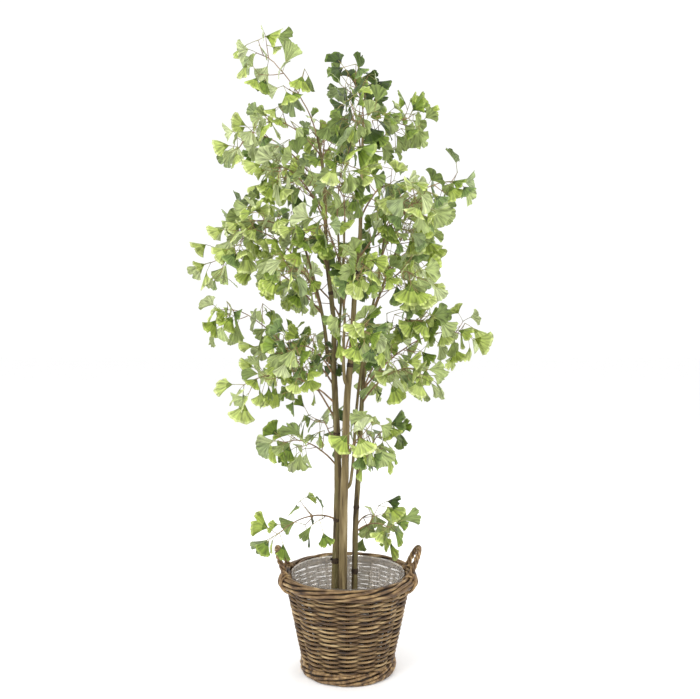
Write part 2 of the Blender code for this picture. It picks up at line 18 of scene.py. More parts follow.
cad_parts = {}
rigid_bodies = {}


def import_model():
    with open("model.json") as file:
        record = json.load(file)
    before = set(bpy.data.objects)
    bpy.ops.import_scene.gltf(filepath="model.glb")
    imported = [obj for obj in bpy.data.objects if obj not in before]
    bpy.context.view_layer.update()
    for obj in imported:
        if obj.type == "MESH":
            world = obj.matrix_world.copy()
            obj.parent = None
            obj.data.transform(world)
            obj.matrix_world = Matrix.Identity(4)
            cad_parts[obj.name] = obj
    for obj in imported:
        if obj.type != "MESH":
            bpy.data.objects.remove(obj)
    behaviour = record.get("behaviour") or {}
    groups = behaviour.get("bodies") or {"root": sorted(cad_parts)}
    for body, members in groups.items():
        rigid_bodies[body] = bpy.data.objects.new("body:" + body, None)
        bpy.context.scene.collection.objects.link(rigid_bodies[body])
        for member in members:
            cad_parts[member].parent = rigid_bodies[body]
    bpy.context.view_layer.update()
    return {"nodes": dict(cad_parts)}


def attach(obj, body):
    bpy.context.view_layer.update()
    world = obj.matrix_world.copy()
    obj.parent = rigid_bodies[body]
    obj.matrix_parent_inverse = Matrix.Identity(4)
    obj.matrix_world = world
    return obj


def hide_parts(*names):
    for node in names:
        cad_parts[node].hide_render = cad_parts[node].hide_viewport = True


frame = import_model()
UP = Vector((0, 0, 1))

# %% [markdown]
# ## The camera
#
# The photograph was taken from 2.3 m away at chest height, with the camera tipped down by about
# one degree. A camera could be aimed with a constraint, but a plain angle is easier to read.

# %% Camera
bpy.ops.object.camera_add(location=(0.006, -2.313, 1.0), rotation=(math.radians(88.8), 0, 0))
camera = bpy.context.object
camera.name = "camera"
camera.data.lens = 40
bpy.context.scene.camera = camera
bpy.context.scene.view_settings.view_transform = "Standard"
print("camera lens", camera.data.lens, "mm")

# %% [markdown]
# ## Helpers that every piece uses
#
# An operator works on whatever is selected, so each step first selects one object alone. Cane,
# twigs and stalks are all round rods along a path. They could be cylinders bent one by one, but a
# curve with a round bevel gives any number of them at once, and is then turned into a mesh.


# %% Selecting, rods and finishing
def only(piece):
    """Select one object alone and make it the active one."""
    bpy.ops.object.select_all(action="DESELECT")
    piece.select_set(True)
    bpy.context.view_layer.objects.active = piece


def smooth_path(points, count):
    """Evenly stepped points of a smooth curve through the given points."""
    knots = [Vector(p) for p in points]
    knots = [knots[0] * 2 - knots[1]] + knots + [knots[-1] * 2 - knots[-2]]
    spans = len(knots) - 3
    made = []
    for k in range(count):
        place = k / (count - 1) * spans
        span = min(int(place), spans - 1)
        t = place - span
        a, b, c, d = knots[span:span + 4]
        made.append(0.5 * (2 * b + (c - a) * t + (2 * a - 5 * b + 4 * c - d) * t * t
                           + (3 * b - a - 3 * c + d) * t ** 3))
    return made


def rods(name, paths, sides, closed=False, finish=None):
    """One mesh of round rods. A path is a list of (point, radius)."""
    bpy.ops.object.select_all(action="DESELECT")
    bpy.ops.curve.primitive_bezier_curve_add()
    made = bpy.context.object
    made.name = name
    curve = made.data
    curve.splines.clear()
    curve.dimensions = "3D"
    curve.bevel_depth = 1.0
    curve.bevel_resolution = sides // 2 - 2
    curve.use_fill_caps = not closed
    for path in paths:
        spline = curve.splines.new("POLY")
        spline.points.add(len(path) - 1)
        spline.points.foreach_set("co", [n for point, _ in path for n in (*point, 1.0)])
        spline.points.foreach_set("radius", [radius for _, radius in path])
        spline.use_cyclic_u = closed
    only(made)
    bpy.ops.object.convert(target="MESH")
    made = bpy.context.object
    made.data.name = name
    if finish:
        made.data.materials.append(finish)
    return made


def modify(piece, kind, **settings):
    """Add a modifier, set it up and apply it."""
    only(piece)
    bpy.ops.object.modifier_add(type=kind)
    modifier = piece.modifiers[-1]
    for key, value in settings.items():
        setattr(modifier, key, value)
    bpy.ops.object.modifier_apply(modifier=modifier.name)


def join(pieces, name):
    """Join objects into one."""
    bpy.ops.object.select_all(action="DESELECT")
    for piece in pieces:
        piece.select_set(True)
    bpy.context.view_layer.objects.active = pieces[0]
    bpy.ops.object.join()
    made = bpy.context.object
    made.name = name
    made.data.name = name
    return made


def mesh_object(name, points, edges, faces):
    """A new object made of points, edges and faces."""
    mesh = bpy.data.meshes.new(name)
    mesh.from_pydata(points, edges, faces)
    made = bpy.data.objects.new(name, mesh)
    bpy.context.scene.collection.objects.link(made)
    return made


def triangles(piece):
    """How many triangles a piece has."""
    return sum(len(face.vertices) - 2 for face in piece.data.polygons)


def finish_piece(piece, replaced, materials, smooth=True):
    """Give a piece its materials, the body it rides on and the nodes it stands for."""
    if materials:
        piece.data.materials.clear()
        for finish in materials:
            piece.data.materials.append(finish)
    only(piece)
    if smooth:
        bpy.ops.object.shade_smooth()
    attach(piece, "root")
    if replaced:
        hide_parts(*replaced)
    print(f"{piece.name}: {triangles(piece)} triangles")


print("helpers ready")

# %% [markdown]
# ## Materials as small node graphs
#
# Every finish here starts from one Principled shader. A noise pattern on Object coordinates runs
# through a colour ramp for the colour and through a Bump node for fine relief. Stretching the
# coordinates makes streaks: along a stem for bark, around the basket for cane. Only the leaves use
# a UV map of their own, because their veins have to follow each leaf. Small helpers add a node,
# feed its inputs and add a ramp, so that each finish reads as a short list.


# %% Colours and nodes
def linear(red, green, blue):
    """A colour given as 0 to 255 screen values, in the linear values that a shader takes."""
    return tuple(((c / 255 + 0.055) / 1.055) ** 2.4 for c in (red, green, blue))


def tones(*colours):
    """Several colours, each given as screen values."""
    return [linear(*colour) for colour in colours]


def shader_of(finish):
    """The Principled shader of a finish."""
    return finish.node_tree.nodes["Principled BSDF"]


def feed(finish, taker, inputs):
    """Give inputs of a node their values, or link them to outputs of other nodes."""
    for name, given in inputs.items():
        if isinstance(given, bpy.types.NodeSocket):
            finish.node_tree.links.new(given, taker.inputs[name])
        else:
            taker.inputs[name].default_value = given


def add_node(finish, kind, inputs=None, operation=None):
    """Add a node to a finish and feed its inputs."""
    made = finish.node_tree.nodes.new("ShaderNode" + kind)
    if operation:
        made.operation = operation
    feed(finish, made, inputs or {})
    return made


def add_ramp(finish, factor, stops):
    """Add a colour ramp, with a position and a colour for each stop, and return its colour."""
    made = add_node(finish, "ValToRGB", {"Fac": factor})
    elements = made.color_ramp.elements
    while len(elements) < len(stops):
        elements.new(0.5)
    for stop, (position, colour) in zip(elements, stops):
        stop.position = position
        stop.color = (*colour, 1)
    return made.outputs["Color"]


print("a mid grey is", round(linear(128, 128, 128)[0], 3), "in linear values")


# %% Material builder
RAMP_START = 0.32
RAMP_SPAN = 0.36
RELIEF_DEPTH = 0.002


def noisy_material(name, colours, stretch, scale, roughness, bump=0.0, fine=None, detail=4.0,
                   coordinates="Object"):
    """A finish whose colour runs through a ramp of colours by stretched noise."""
    made = bpy.data.materials.new(name)
    made.use_nodes = True
    place = add_node(made, "TexCoord")
    mapping = add_node(made, "Mapping", {"Vector": place.outputs[coordinates], "Scale": stretch})
    where = mapping.outputs["Vector"]
    pattern = add_node(made, "TexNoise", {"Vector": where, "Scale": scale, "Detail": detail})
    last = len(colours) - 1
    stops = [(RAMP_START + RAMP_SPAN * k / last, tone) for k, tone in enumerate(colours)]
    feed(made, shader_of(made), {"Roughness": roughness,
                                 "Base Color": add_ramp(made, pattern.outputs["Fac"], stops)})
    if bump:
        grain = add_node(made, "TexNoise", {"Vector": where, "Scale": fine or scale * 4})
        relief = add_node(made, "Bump", {"Height": grain.outputs["Fac"], "Strength": bump,
                                         "Distance": RELIEF_DEPTH})
        feed(made, shader_of(made), {"Normal": relief.outputs["Normal"]})
    return made


print("material builder ready")

# %% [markdown]
# Shade falls between the canes. Lamps alone leave those gaps too bright, so shade is painted into
# the finish: it gets darker there, and its shader looks at how deep in the wall or the border a
# point lies.


# %% Painted shade between the canes
CANE_SHINE = 0.45


def place_across_wall(finish):
    """Add the distance from the basket's axis and the height, as nodes of a finish."""
    place = add_node(finish, "TexCoord")
    split = add_node(finish, "SeparateXYZ", {"Vector": place.outputs["Object"]})
    flat = add_node(finish, "CombineXYZ", {"X": split.outputs["X"], "Y": split.outputs["Y"]})
    radius = add_node(finish, "VectorMath", {0: flat.outputs["Vector"]}, operation="LENGTH")
    return radius.outputs["Value"], split.outputs["Z"]


def shade_by(finish, shade):
    """Multiply a finish's colour and its shine by a painted shade from 0 to 1."""
    colour = shader_of(finish).inputs["Base Color"].links[0].from_socket
    tone = add_node(finish, "HueSaturation", {"Color": colour, "Value": shade})
    shine = add_node(finish, "Math", {0: shade, 1: CANE_SHINE}, operation="MULTIPLY")
    feed(finish, shader_of(finish), {"Base Color": tone.outputs["Color"],
                                     "Specular IOR Level": shine.outputs["Value"]})


def paint_shade_in_recesses(finish, radius_at_ground, slope, thickness, darkest):
    """Paint shade into a cane finish in the middle of the wall's thickness."""
    radius, height = place_across_wall(finish)
    wall = add_node(finish, "Math", {0: height, 1: -slope, 2: -radius_at_ground},
                    operation="MULTIPLY_ADD")
    depth = add_node(finish, "Math", {0: radius, 1: wall.outputs["Value"]})
    span = add_node(finish, "MapRange", {"Value": depth.outputs["Value"], "From Min": 0.0,
                                         "From Max": -thickness})
    stops = ((0.16, 1.0), (0.50, darkest), (0.72, darkest), (0.90, 0.9))
    shade_by(finish, add_ramp(finish, span.outputs["Result"],
                              [(position, (value,) * 3) for position, value in stops]))


def paint_shade_in_grooves(finish, ring_radius, ring_height, inner, outer, darkest):
    """Paint shade into a cane finish where it lies close to the middle line of a rolled border."""
    radius, height = place_across_wall(finish)
    section = add_node(finish, "CombineXYZ", {"X": radius, "Z": height})
    away = add_node(finish, "VectorMath",
                    {0: section.outputs["Vector"], 1: (ring_radius, 0, ring_height)},
                    operation="DISTANCE")
    shade = add_node(finish, "MapRange", {"Value": away.outputs["Value"], "From Min": inner,
                                          "From Max": outer, "To Min": darkest, "To Max": 1.0})
    shade_by(finish, shade.outputs["Result"])


print("shading helpers ready")

# %% [markdown]
# Cane is a dry, grey-brown wood with long streaks. The bark is streaked upwards, the pot is plain
# black plastic and the cement is grey and grainy. Each finish lists its colours from dark to light.

# %% Finishes of the cane, the bark, the pot and the cement
ROUND_THE_BASKET = (0.13, 0.13, 1.0)
UP_THE_STEM = (1, 1, 0.10)
CANE = noisy_material(
    "weathered_cane",
    tones((46, 31, 17), (84, 62, 38), (116, 91, 59), (149, 123, 84), (186, 161, 118)),
    ROUND_THE_BASKET, 125.0, 0.58, bump=0.35, fine=900.0)
CANE_RIM = noisy_material(
    "rim_cane", tones((46, 31, 17), (80, 58, 35), (108, 83, 53), (138, 111, 73), (172, 146, 104)),
    (0.22, 0.22, 1.0), 95.0, 0.55, bump=0.35, fine=600.0)
CANE_HANDLE = noisy_material(
    "handle_cane",
    tones((54, 38, 21), (90, 67, 42), (122, 95, 62), (153, 125, 84), (186, 158, 115)),
    (1, 1, 0.6), 70.0, 0.55, bump=0.35, fine=600.0)
# The dark core of the rolled borders is painted shade.
CORE = noisy_material("shadowed_core", tones((26, 19, 12), (48, 36, 24)), (1, 1, 1), 60.0, 0.8,
                      bump=0.2)
# The stakes' near-black, dull finish is painted shade for the deep gaps of the weave.
STAKE = noisy_material("stake_cane", tones((26, 18, 10), (50, 36, 22), (78, 59, 38)), (1, 1, 0.2),
                       70.0, 0.8, bump=0.3)
feed(STAKE, shader_of(STAKE), {"Specular IOR Level": 0.15})
DARK_BARK = noisy_material(
    "dark_bark",
    tones((58, 48, 28), (94, 80, 50), (118, 104, 68), (98, 92, 52), (140, 126, 92)),
    UP_THE_STEM, 95.0, 0.85, bump=0.8, fine=420.0, detail=6.0)
PALE_BARK = noisy_material(
    "pale_bark", tones((82, 68, 40), (114, 98, 64), (136, 120, 82), (158, 142, 106)),
    UP_THE_STEM, 95.0, 0.85, bump=0.8, fine=420.0, detail=6.0)
KNOT = noisy_material("knot_bark", tones((30, 23, 16), (58, 44, 30), (76, 60, 40)), (1, 1, 0.6),
                      160.0, 0.9, bump=0.8)
TWIG = noisy_material("twig_bark", tones((92, 72, 50), (130, 102, 72), (160, 130, 94)), (1, 1, 1),
                      45.0, 0.7, bump=0.2)
STALK = noisy_material("leaf_stalk", tones((104, 102, 50), (138, 138, 72), (156, 134, 84)),
                       (1, 1, 1), 30.0, 0.6)
POT = noisy_material("moulded_pot", tones((20, 20, 20), (30, 30, 30)), (1, 1, 1), 40.0, 0.45,
                     bump=0.15, fine=900.0)
CEMENT = noisy_material("rough_cement", tones((118, 114, 108), (146, 142, 134), (166, 162, 154)),
                        (1, 1, 1), 60.0, 0.92, bump=0.9, fine=380.0, detail=8.0)
print("materials:", len(bpy.data.materials))

# %% [markdown]
# ## The woven wall of the basket
#
# The wall is woven in plain weave: each row of cane passes outside one pair of upright stakes and
# inside the next, and the row above does the opposite. A picture of a weave on a smooth cone would
# look flat at the edge, so the canes are real: each row is a ring whose radius swings in and out.

# %% Sizes of the basket
BASKET_HEIGHT = 0.2935
BODY_BOTTOM_RADIUS = 0.1325
BODY_TOP_RADIUS = 0.1865
RIM_CENTRE_RADIUS = 0.189
RIM_HALF = 0.018
RIM_CENTRE_HEIGHT = BASKET_HEIGHT - RIM_HALF
STAKE_PAIRS = 16
WALL_INSET = 0.0076
SWING = 0.0050
WEAVER_RADIUS = 0.0038
STAKE_RADIUS = 0.0027
ROW_PITCH = 0.0066
FIRST_ROW = 0.0375
LAST_ROW = 0.2606
ROW_COUNT = int((LAST_ROW - FIRST_ROW) / ROW_PITCH) + 1


def wall_radius(height):
    """The outer radius of the basket's wall at a height."""
    share = height / (BASKET_HEIGHT - 2 * RIM_HALF)
    return BODY_BOTTOM_RADIUS + (BODY_TOP_RADIUS - BODY_BOTTOM_RADIUS) * share


def stake_shift(turn):
    """How far the hand-set stakes stand out of even spacing, in turns of the basket."""
    return 0.035 * math.sin(3 * turn + 1.1) + 0.022 * math.sin(5 * turn + 0.4)


def around(radius, turn, height):
    """The point at a radius, an angle and a height about the basket's axis."""
    return Vector((radius * math.cos(turn), radius * math.sin(turn), height))


def turns(count):
    """Evenly spaced angles of one whole turn."""
    return [2 * math.pi * k / count for k in range(count)]


print("rows of weave:", ROW_COUNT)

# %% Weave the wall
STEPS_BETWEEN_STAKES = 12
WALL_SLOPE = (BODY_TOP_RADIUS - BODY_BOTTOM_RADIUS) / (BASKET_HEIGHT - 2 * RIM_HALF)
rng = random.Random(7)
# Painted shade: the wall's cane gets darker, and less shiny, deep in the weave.
paint_shade_in_recesses(CANE, BODY_BOTTOM_RADIUS, WALL_SLOPE, thickness=0.0180, darkest=0.20)
rows = []
for row in range(ROW_COUNT):
    height = FIRST_ROW + ROW_PITCH * row
    thickness = WEAVER_RADIUS * rng.uniform(0.90, 1.08)
    drift = rng.uniform(0, 100)
    path = []
    for turn in turns(STAKE_PAIRS * STEPS_BETWEEN_STAKES):
        swing = math.cos(STAKE_PAIRS / 2 * turn + math.pi * row)
        swing = math.copysign(abs(swing) ** 0.75, swing)
        wobble = noise.noise(Vector((math.cos(turn) * 4, math.sin(turn) * 4, drift)))
        lift = 0.0012 * wobble - 0.0008 * abs(swing)
        radius = wall_radius(height) - WALL_INSET + SWING * swing + 0.0008 * wobble
        thick = thickness * (0.85 + 0.17 * abs(swing)) * (1 + 0.12 * wobble)
        path.append((around(radius, turn + stake_shift(turn), height + lift), thick))
    rows.append(path)
weave = rods("weave", rows, 8, closed=True)
finish_piece(weave, ["basket_body"], [CANE])

# %% [markdown]
# The stakes stand in pairs between the rows. They show as dark lines in the gaps, and they hold the
# wall's slope. Their near-black finish is painted shade, and the floor of the basket, woven the
# same way as rings over and under spokes, shares it.

# %% Stakes and floor
STAKE_FOOT = 0.006
STAKE_TOP = 0.262
STAKE_APART = 0.0030
FLOOR_HEIGHT = 0.0085
FLOOR_RINGS = 15
FLOOR_SWING = 0.0026
SPOKE_REACH = 0.128
uprights = []
for middle in turns(STAKE_PAIRS):
    for side in (-1, 1):
        path = []
        for step in range(9):
            height = STAKE_FOOT + (STAKE_TOP - STAKE_FOOT) * step / 8
            radius = wall_radius(height) - WALL_INSET
            turn = middle + stake_shift(middle) + side * STAKE_APART / radius
            path.append((around(radius, turn, height), STAKE_RADIUS))
        uprights.append(path)
stakes = rods("stakes", uprights, 8)

floor_rings = []
for ring in range(FLOOR_RINGS):
    path = []
    for turn in turns(96):
        height = FLOOR_HEIGHT + FLOOR_SWING * math.cos(STAKE_PAIRS / 2 * turn + math.pi * ring)
        path.append((around(0.016 + 0.0076 * ring, turn, height), 0.0036))
    floor_rings.append(path)
floor_weave = rods("floor_weave", floor_rings, 6, closed=True)
spokes = [[(around(reach, turn, FLOOR_HEIGHT), 0.0030) for reach in (-SPOKE_REACH, SPOKE_REACH)]
          for turn in turns(STAKE_PAIRS)[:STAKE_PAIRS // 2]]
floor_spokes = rods("floor_spokes", spokes, 6)
stakes = join([stakes, floor_weave, floor_spokes], "stakes_and_floor")
finish_piece(stakes, ["basket_body"], [STAKE])

# %% [markdown]
# ## The rolled borders
#
# At the rim and the foot the stakes are bent over and rolled round each other, so the border looks
# like a thick rope laid on its side. Each cane here runs round the basket while it slowly turns
# about the border's own middle. A plain dark ring of painted shade fills the core, so no light
# comes through.


# %% Rolled border builder
def rolled_border(name, radius, height, reach, canes, cane_radius, rolls, seed, finish):
    """Canes that wind round a ring. reach is how far they stand from its middle, across and up."""
    rng = random.Random(seed)
    paths = []
    for cane in range(canes):
        start = 2 * math.pi * cane / canes
        thick = cane_radius * rng.uniform(0.9, 1.08)
        drift = rng.uniform(0, 100)
        path = []
        for turn in turns(288):
            wobble = noise.noise(Vector((math.cos(turn) * 3, math.sin(turn) * 3, drift)))
            roll = start + rolls * turn + 0.35 * wobble
            out = radius + reach[0] * math.cos(roll) * (1 + 0.06 * wobble)
            up = height + reach[1] * math.sin(roll) * (1 + 0.04 * wobble)
            path.append((around(out, turn, up), thick * (1 + 0.10 * wobble)))
        paths.append(path)
    border = rods(name, paths, 8, closed=True, finish=finish)
    core = [[(around(radius, turn, height), min(reach) * 0.80) for turn in turns(96)]]
    heart = rods(name + "_core", core, 8, closed=True, finish=CORE)
    return join([border, heart], name)


# Painted shade: the rim's cane gets darker, and less shiny, in the grooves of its roll.
paint_shade_in_grooves(CANE_RIM, RIM_CENTRE_RADIUS, RIM_CENTRE_HEIGHT, inner=0.0105, outer=0.0155,
               darkest=0.30)
rim = rolled_border("rim_border", RIM_CENTRE_RADIUS, RIM_CENTRE_HEIGHT, reach=(0.0126, 0.0126),
                    canes=7, cane_radius=0.0046, rolls=2, seed=11, finish=CANE_RIM)
finish_piece(rim, ["basket_rim"], None)
foot = rolled_border("foot_border", 0.1352, 0.0176, reach=(0.0050, 0.0130),
                     canes=6, cane_radius=0.0040, rolls=2, seed=12, finish=CANE_HANDLE)
finish_piece(foot, ["basket_foot"], None)

# %% [markdown]
# ## The handles
#
# A handle is three canes laid into a rope, bent into an arch and bound to the rim by a few turns of
# thinner cane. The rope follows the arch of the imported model.

# %% Handle shape
HANDLE_HALF_SPAN = 0.055
HANDLE_RISE = 0.064
HANDLE_LEAN = 0.031
HANDLE_TWISTS = 4.5


def handle_point(way, share):
    """A point of a handle's middle line. share runs from 0 at one foot to 1 at the other."""
    foot_x = math.sqrt(RIM_CENTRE_RADIUS ** 2 - HANDLE_HALF_SPAN ** 2)
    bend = math.pi * share
    return Vector((way * (foot_x + HANDLE_LEAN * math.sin(bend)),
                   -HANDLE_HALF_SPAN * math.cos(bend),
                   BASKET_HEIGHT - 0.004 + (HANDLE_RISE + 0.004) * math.sin(bend)))


print("handle tops at", [round(n, 3) for n in handle_point(1, 0.5)])

# %% [markdown]
# Three kinds of cane make a handle. The strands wind round its middle line, thin wraps bind each
# foot to the rim, and the strands' own ends leave each foot to both sides and dive under the rim.
# A step of such an end says how far it lies outside the rim's middle, aside (in radians) and up.


# %% The canes of a handle
STRAND_SPREAD = 0.0047
STRAND_RADIUS = 0.0038
STRAND_STEPS = 72
WRAP_REACH = 0.0174
WRAP_RADIUS = 0.0029
WRAP_STEPS = 21
TAIL_RADIUS = 0.0041
TAIL_STEPS = ((0.004, 0.010, 0.006), (0.0145, 0.022, -0.002), (0.0190, 0.048, -0.018),
              (0.0155, 0.080, -0.032), (0.0045, 0.110, -0.043), (-0.008, 0.128, -0.047))


def strand_path(way, strand):
    """One of the three strands of a handle."""
    path = []
    for k in range(STRAND_STEPS + 1):
        share = k / STRAND_STEPS
        ahead = handle_point(way, min(share + 0.01, 1)) - handle_point(way, max(share - 0.01, 0))
        ahead.normalize()
        across = ahead.cross(Vector((way, 0, 0))).normalized()
        lift = across.cross(ahead)
        roll = 2 * math.pi * (strand / 3 + HANDLE_TWISTS * share)
        away = (across * math.cos(roll) + lift * math.sin(roll)) * STRAND_SPREAD
        path.append((handle_point(way, share) + away, STRAND_RADIUS))
    return path


def wrap_path(middle_turn, wrap):
    """One wrap of thin cane that binds a handle's foot to the rim."""
    path = []
    for k in range(WRAP_STEPS + 1):
        share = k / WRAP_STEPS
        roll = math.pi * (-0.42 + 1.55 * share)
        slant = ((wrap - 1) * 0.0100 + (0.5 - share) * 0.026) / RIM_CENTRE_RADIUS
        out = RIM_CENTRE_RADIUS + WRAP_REACH * math.cos(roll)
        up = RIM_CENTRE_HEIGHT + WRAP_REACH * math.sin(roll)
        path.append((around(out, middle_turn + slant, up), WRAP_RADIUS))
    return path


def tail_path(middle_turn, lean):
    """The end of a strand, from a handle's foot to one side and under the rim."""
    tail = [around(RIM_CENTRE_RADIUS + out, middle_turn + lean * drift, BASKET_HEIGHT + up)
            for out, drift, up in TAIL_STEPS]
    return [(point, TAIL_RADIUS) for point in smooth_path(tail, 18)]


# %% Lay the ropes and bind them
for name, way in (("handle_left", -1), ("handle_right", 1)):
    canes = [strand_path(way, strand) for strand in range(3)]
    for foot_share in (0, 1):
        foot_point = handle_point(way, foot_share)
        middle_turn = math.atan2(foot_point.y, foot_point.x)
        canes += [wrap_path(middle_turn, wrap) for wrap in range(3)]
        canes += [tail_path(middle_turn, lean) for lean in (-1, 1)]
    finish_piece(rods(name + "_cane", canes, 8), [name], [CANE_HANDLE])

# %% [markdown]
# ## The clear liner
#
# A loose sheet of clear film lines the basket. It leans on the weave and falls in upright folds.
# The sheet is a ring of points pulled in and out by noise, with a real thickness. Its finish is
# glossy and mostly see-through, so the cane shows behind it.

# %% Shape of the liner
FILM_TOP = 0.2895
FILM_BOTTOM = 0.0165
FILM_WIDEST = 0.1702
FILM_GAP = 0.0012
FILM_EDGE = 0.28
FILM_FLOOR_RINGS = (0.09, 0.045)
FILM_STEPS = 43
FILM_SIDES = 240
FILM_THICKNESS = 0.0004


def film_point(radius, turn, height):
    """A point of the sheet, pulled in by folds, by creases and by the canes that press on it."""
    fold = noise.noise(Vector((math.cos(turn) * 5, math.sin(turn) * 5, height * 6)))
    crease = abs(noise.noise(Vector((math.cos(turn) * 9, math.sin(turn) * 9, height * 16 + 9))))
    press = math.cos(STAKE_PAIRS / 2 * turn) * math.cos(math.pi * (height - FIRST_ROW) / ROW_PITCH)
    inward = 0.0026 * (fold + 0.5) + 0.0034 * crease + 0.0011 * max(0.0, press)
    edge = 0.0022 * fold if height > FILM_EDGE else 0.0
    return around(radius - max(0.0, inward), turn, height + edge)


film_rows = []
for step in range(FILM_STEPS + 1):
    height = FILM_TOP - (FILM_TOP - FILM_BOTTOM) * (step / FILM_STEPS)
    inner_wall = wall_radius(height) - WALL_INSET - SWING - WEAVER_RADIUS
    film_rows.append((min(inner_wall - FILM_GAP, FILM_WIDEST), height))
film_rows += [(radius, FILM_BOTTOM) for radius in FILM_FLOOR_RINGS]
points = [film_point(radius, turn, height)
          for radius, height in film_rows for turn in turns(FILM_SIDES)]
points.append(Vector((0, 0, FILM_BOTTOM)))
faces = []
for row in range(len(film_rows) - 1):
    a = row * FILM_SIDES
    b = a + FILM_SIDES
    for k in range(FILM_SIDES):
        j = (k + 1) % FILM_SIDES
        faces.append((a + k, b + k, b + j, a + j))
last = (len(film_rows) - 1) * FILM_SIDES
faces += [(last + k, len(points) - 1, last + (k + 1) % FILM_SIDES) for k in range(FILM_SIDES)]
film = mesh_object("film_liner", [tuple(p) for p in points], [], faces)
print("faces of the sheet:", len(faces))

# %% [markdown]
# Seen from inside the film shines, and its near-white colour is painted sheen. From outside, behind
# the weave, it is only a faint veil whose dark colour is painted shade, so its two sides have
# finishes of their own. The Solidify modifier gives them out with the wall.

# %% Finish of the liner
# The film's near-white colour is painted sheen, and the dark colour of its outside is painted
# shade.
FILM = noisy_material("clear_film", tones((240, 231, 221), (252, 247, 241)), (1, 1, 0.3), 60.0,
                      0.12, bump=0.8, fine=42.0)
feed(FILM, shader_of(FILM), {"Metallic": 0.45})
FILM_OUTSIDE_SHADE = noisy_material("film_outside_shade", tones((52, 44, 36), (70, 60, 50)), (1, 1, 0.3), 60.0,
                              0.6)
for finish, alpha, coat in ((FILM, 0.58, 0.6), (FILM_OUTSIDE_SHADE, 0.12, 0.0)):
    feed(finish, shader_of(finish), {"Alpha": alpha, "IOR": 1.5, "Coat Weight": coat,
                                     "Coat Roughness": 0.05})
film.data.materials.append(FILM_OUTSIDE_SHADE)
film.data.materials.append(FILM)
modify(film, "SOLIDIFY", thickness=FILM_THICKNESS, offset=0.0, material_offset=1,
       material_offset_rim=1)
finish_piece(film, ["liner"], None)

# %% [markdown]
# ## The pot and its cement
#
# Inside the basket the stems are set in cement in a plain moulded pot. Both are round, so their
# outlines are turned about the upright axis, as on a lathe. The Screw modifier does that.


# %% Turn the pot and the cement
SAME_POINT = 0.00002
POT_STAND = 0.0170
POT_RIM = 0.1656
CEMENT_TOP = 0.1474


def turned(name, outline, sides=96):
    """A closed solid turned from a line of (radius, height) points that ends on the axis twice."""
    made = mesh_object(name, [(r, 0, z) for r, z in outline],
                       [(k, k + 1) for k in range(len(outline) - 1)], [])
    modify(made, "SCREW", angle=2 * math.pi, steps=sides, render_steps=sides, axis="Z",
           use_merge_vertices=True, merge_threshold=SAME_POINT, use_smooth_shade=True)
    only(made)
    bpy.ops.object.mode_set(mode="EDIT")
    bpy.ops.mesh.select_all(action="SELECT")
    bpy.ops.mesh.remove_doubles(threshold=SAME_POINT)
    bpy.ops.mesh.normals_make_consistent(inside=False)
    bpy.ops.object.mode_set(mode="OBJECT")
    return made


pot = turned("moulded_pot", [
    (0, POT_STAND), (0.074, POT_STAND), (0.079, POT_STAND + 0.002), (0.0805, POT_STAND + 0.006),
    (0.0930, 0.135), (0.0970, 0.1525), (0.1015, 0.1540), (0.1030, 0.1560), (0.1034, 0.1640),
    (0.1025, POT_RIM), (0.0965, POT_RIM), (0.0952, 0.1640), (0.0942, 0.150), (0.0775, 0.0210),
    (0, 0.0210)])
finish_piece(pot, ["inner_pot"], [POT], smooth=False)
only(pot)
bpy.ops.object.shade_smooth_by_angle(angle=math.radians(40))

fill_line = [(0, 0.0213), (0.0760, 0.0213), (0.0922, 0.1460)]
fill_line += [(0.0916 * (1 - k / 24), CEMENT_TOP) for k in range(25)]
fill = turned("rough_cement", fill_line)
for corner in fill.data.vertices:
    if corner.co.z > CEMENT_TOP - 0.0004:
        rough = noise.noise(corner.co * 45) + 0.5 * noise.noise(corner.co * 130)
        corner.co.z += 0.0012 * rough
finish_piece(fill, ["cement_fill"], [CEMENT])

# %% [markdown]
# ## Stems and boughs
#
# The stems are the part's own limbs: smooth paths through a few named points, tapering towards the
# tip. foot and tip are radii, rings is the number of points along the path, and a bough leaves its
# parent at the height called at. Here the limbs get bark. Fine upright ridges and broader swellings
# move the surface in and out, which shows at a stem's edge, where a painted pattern could not.

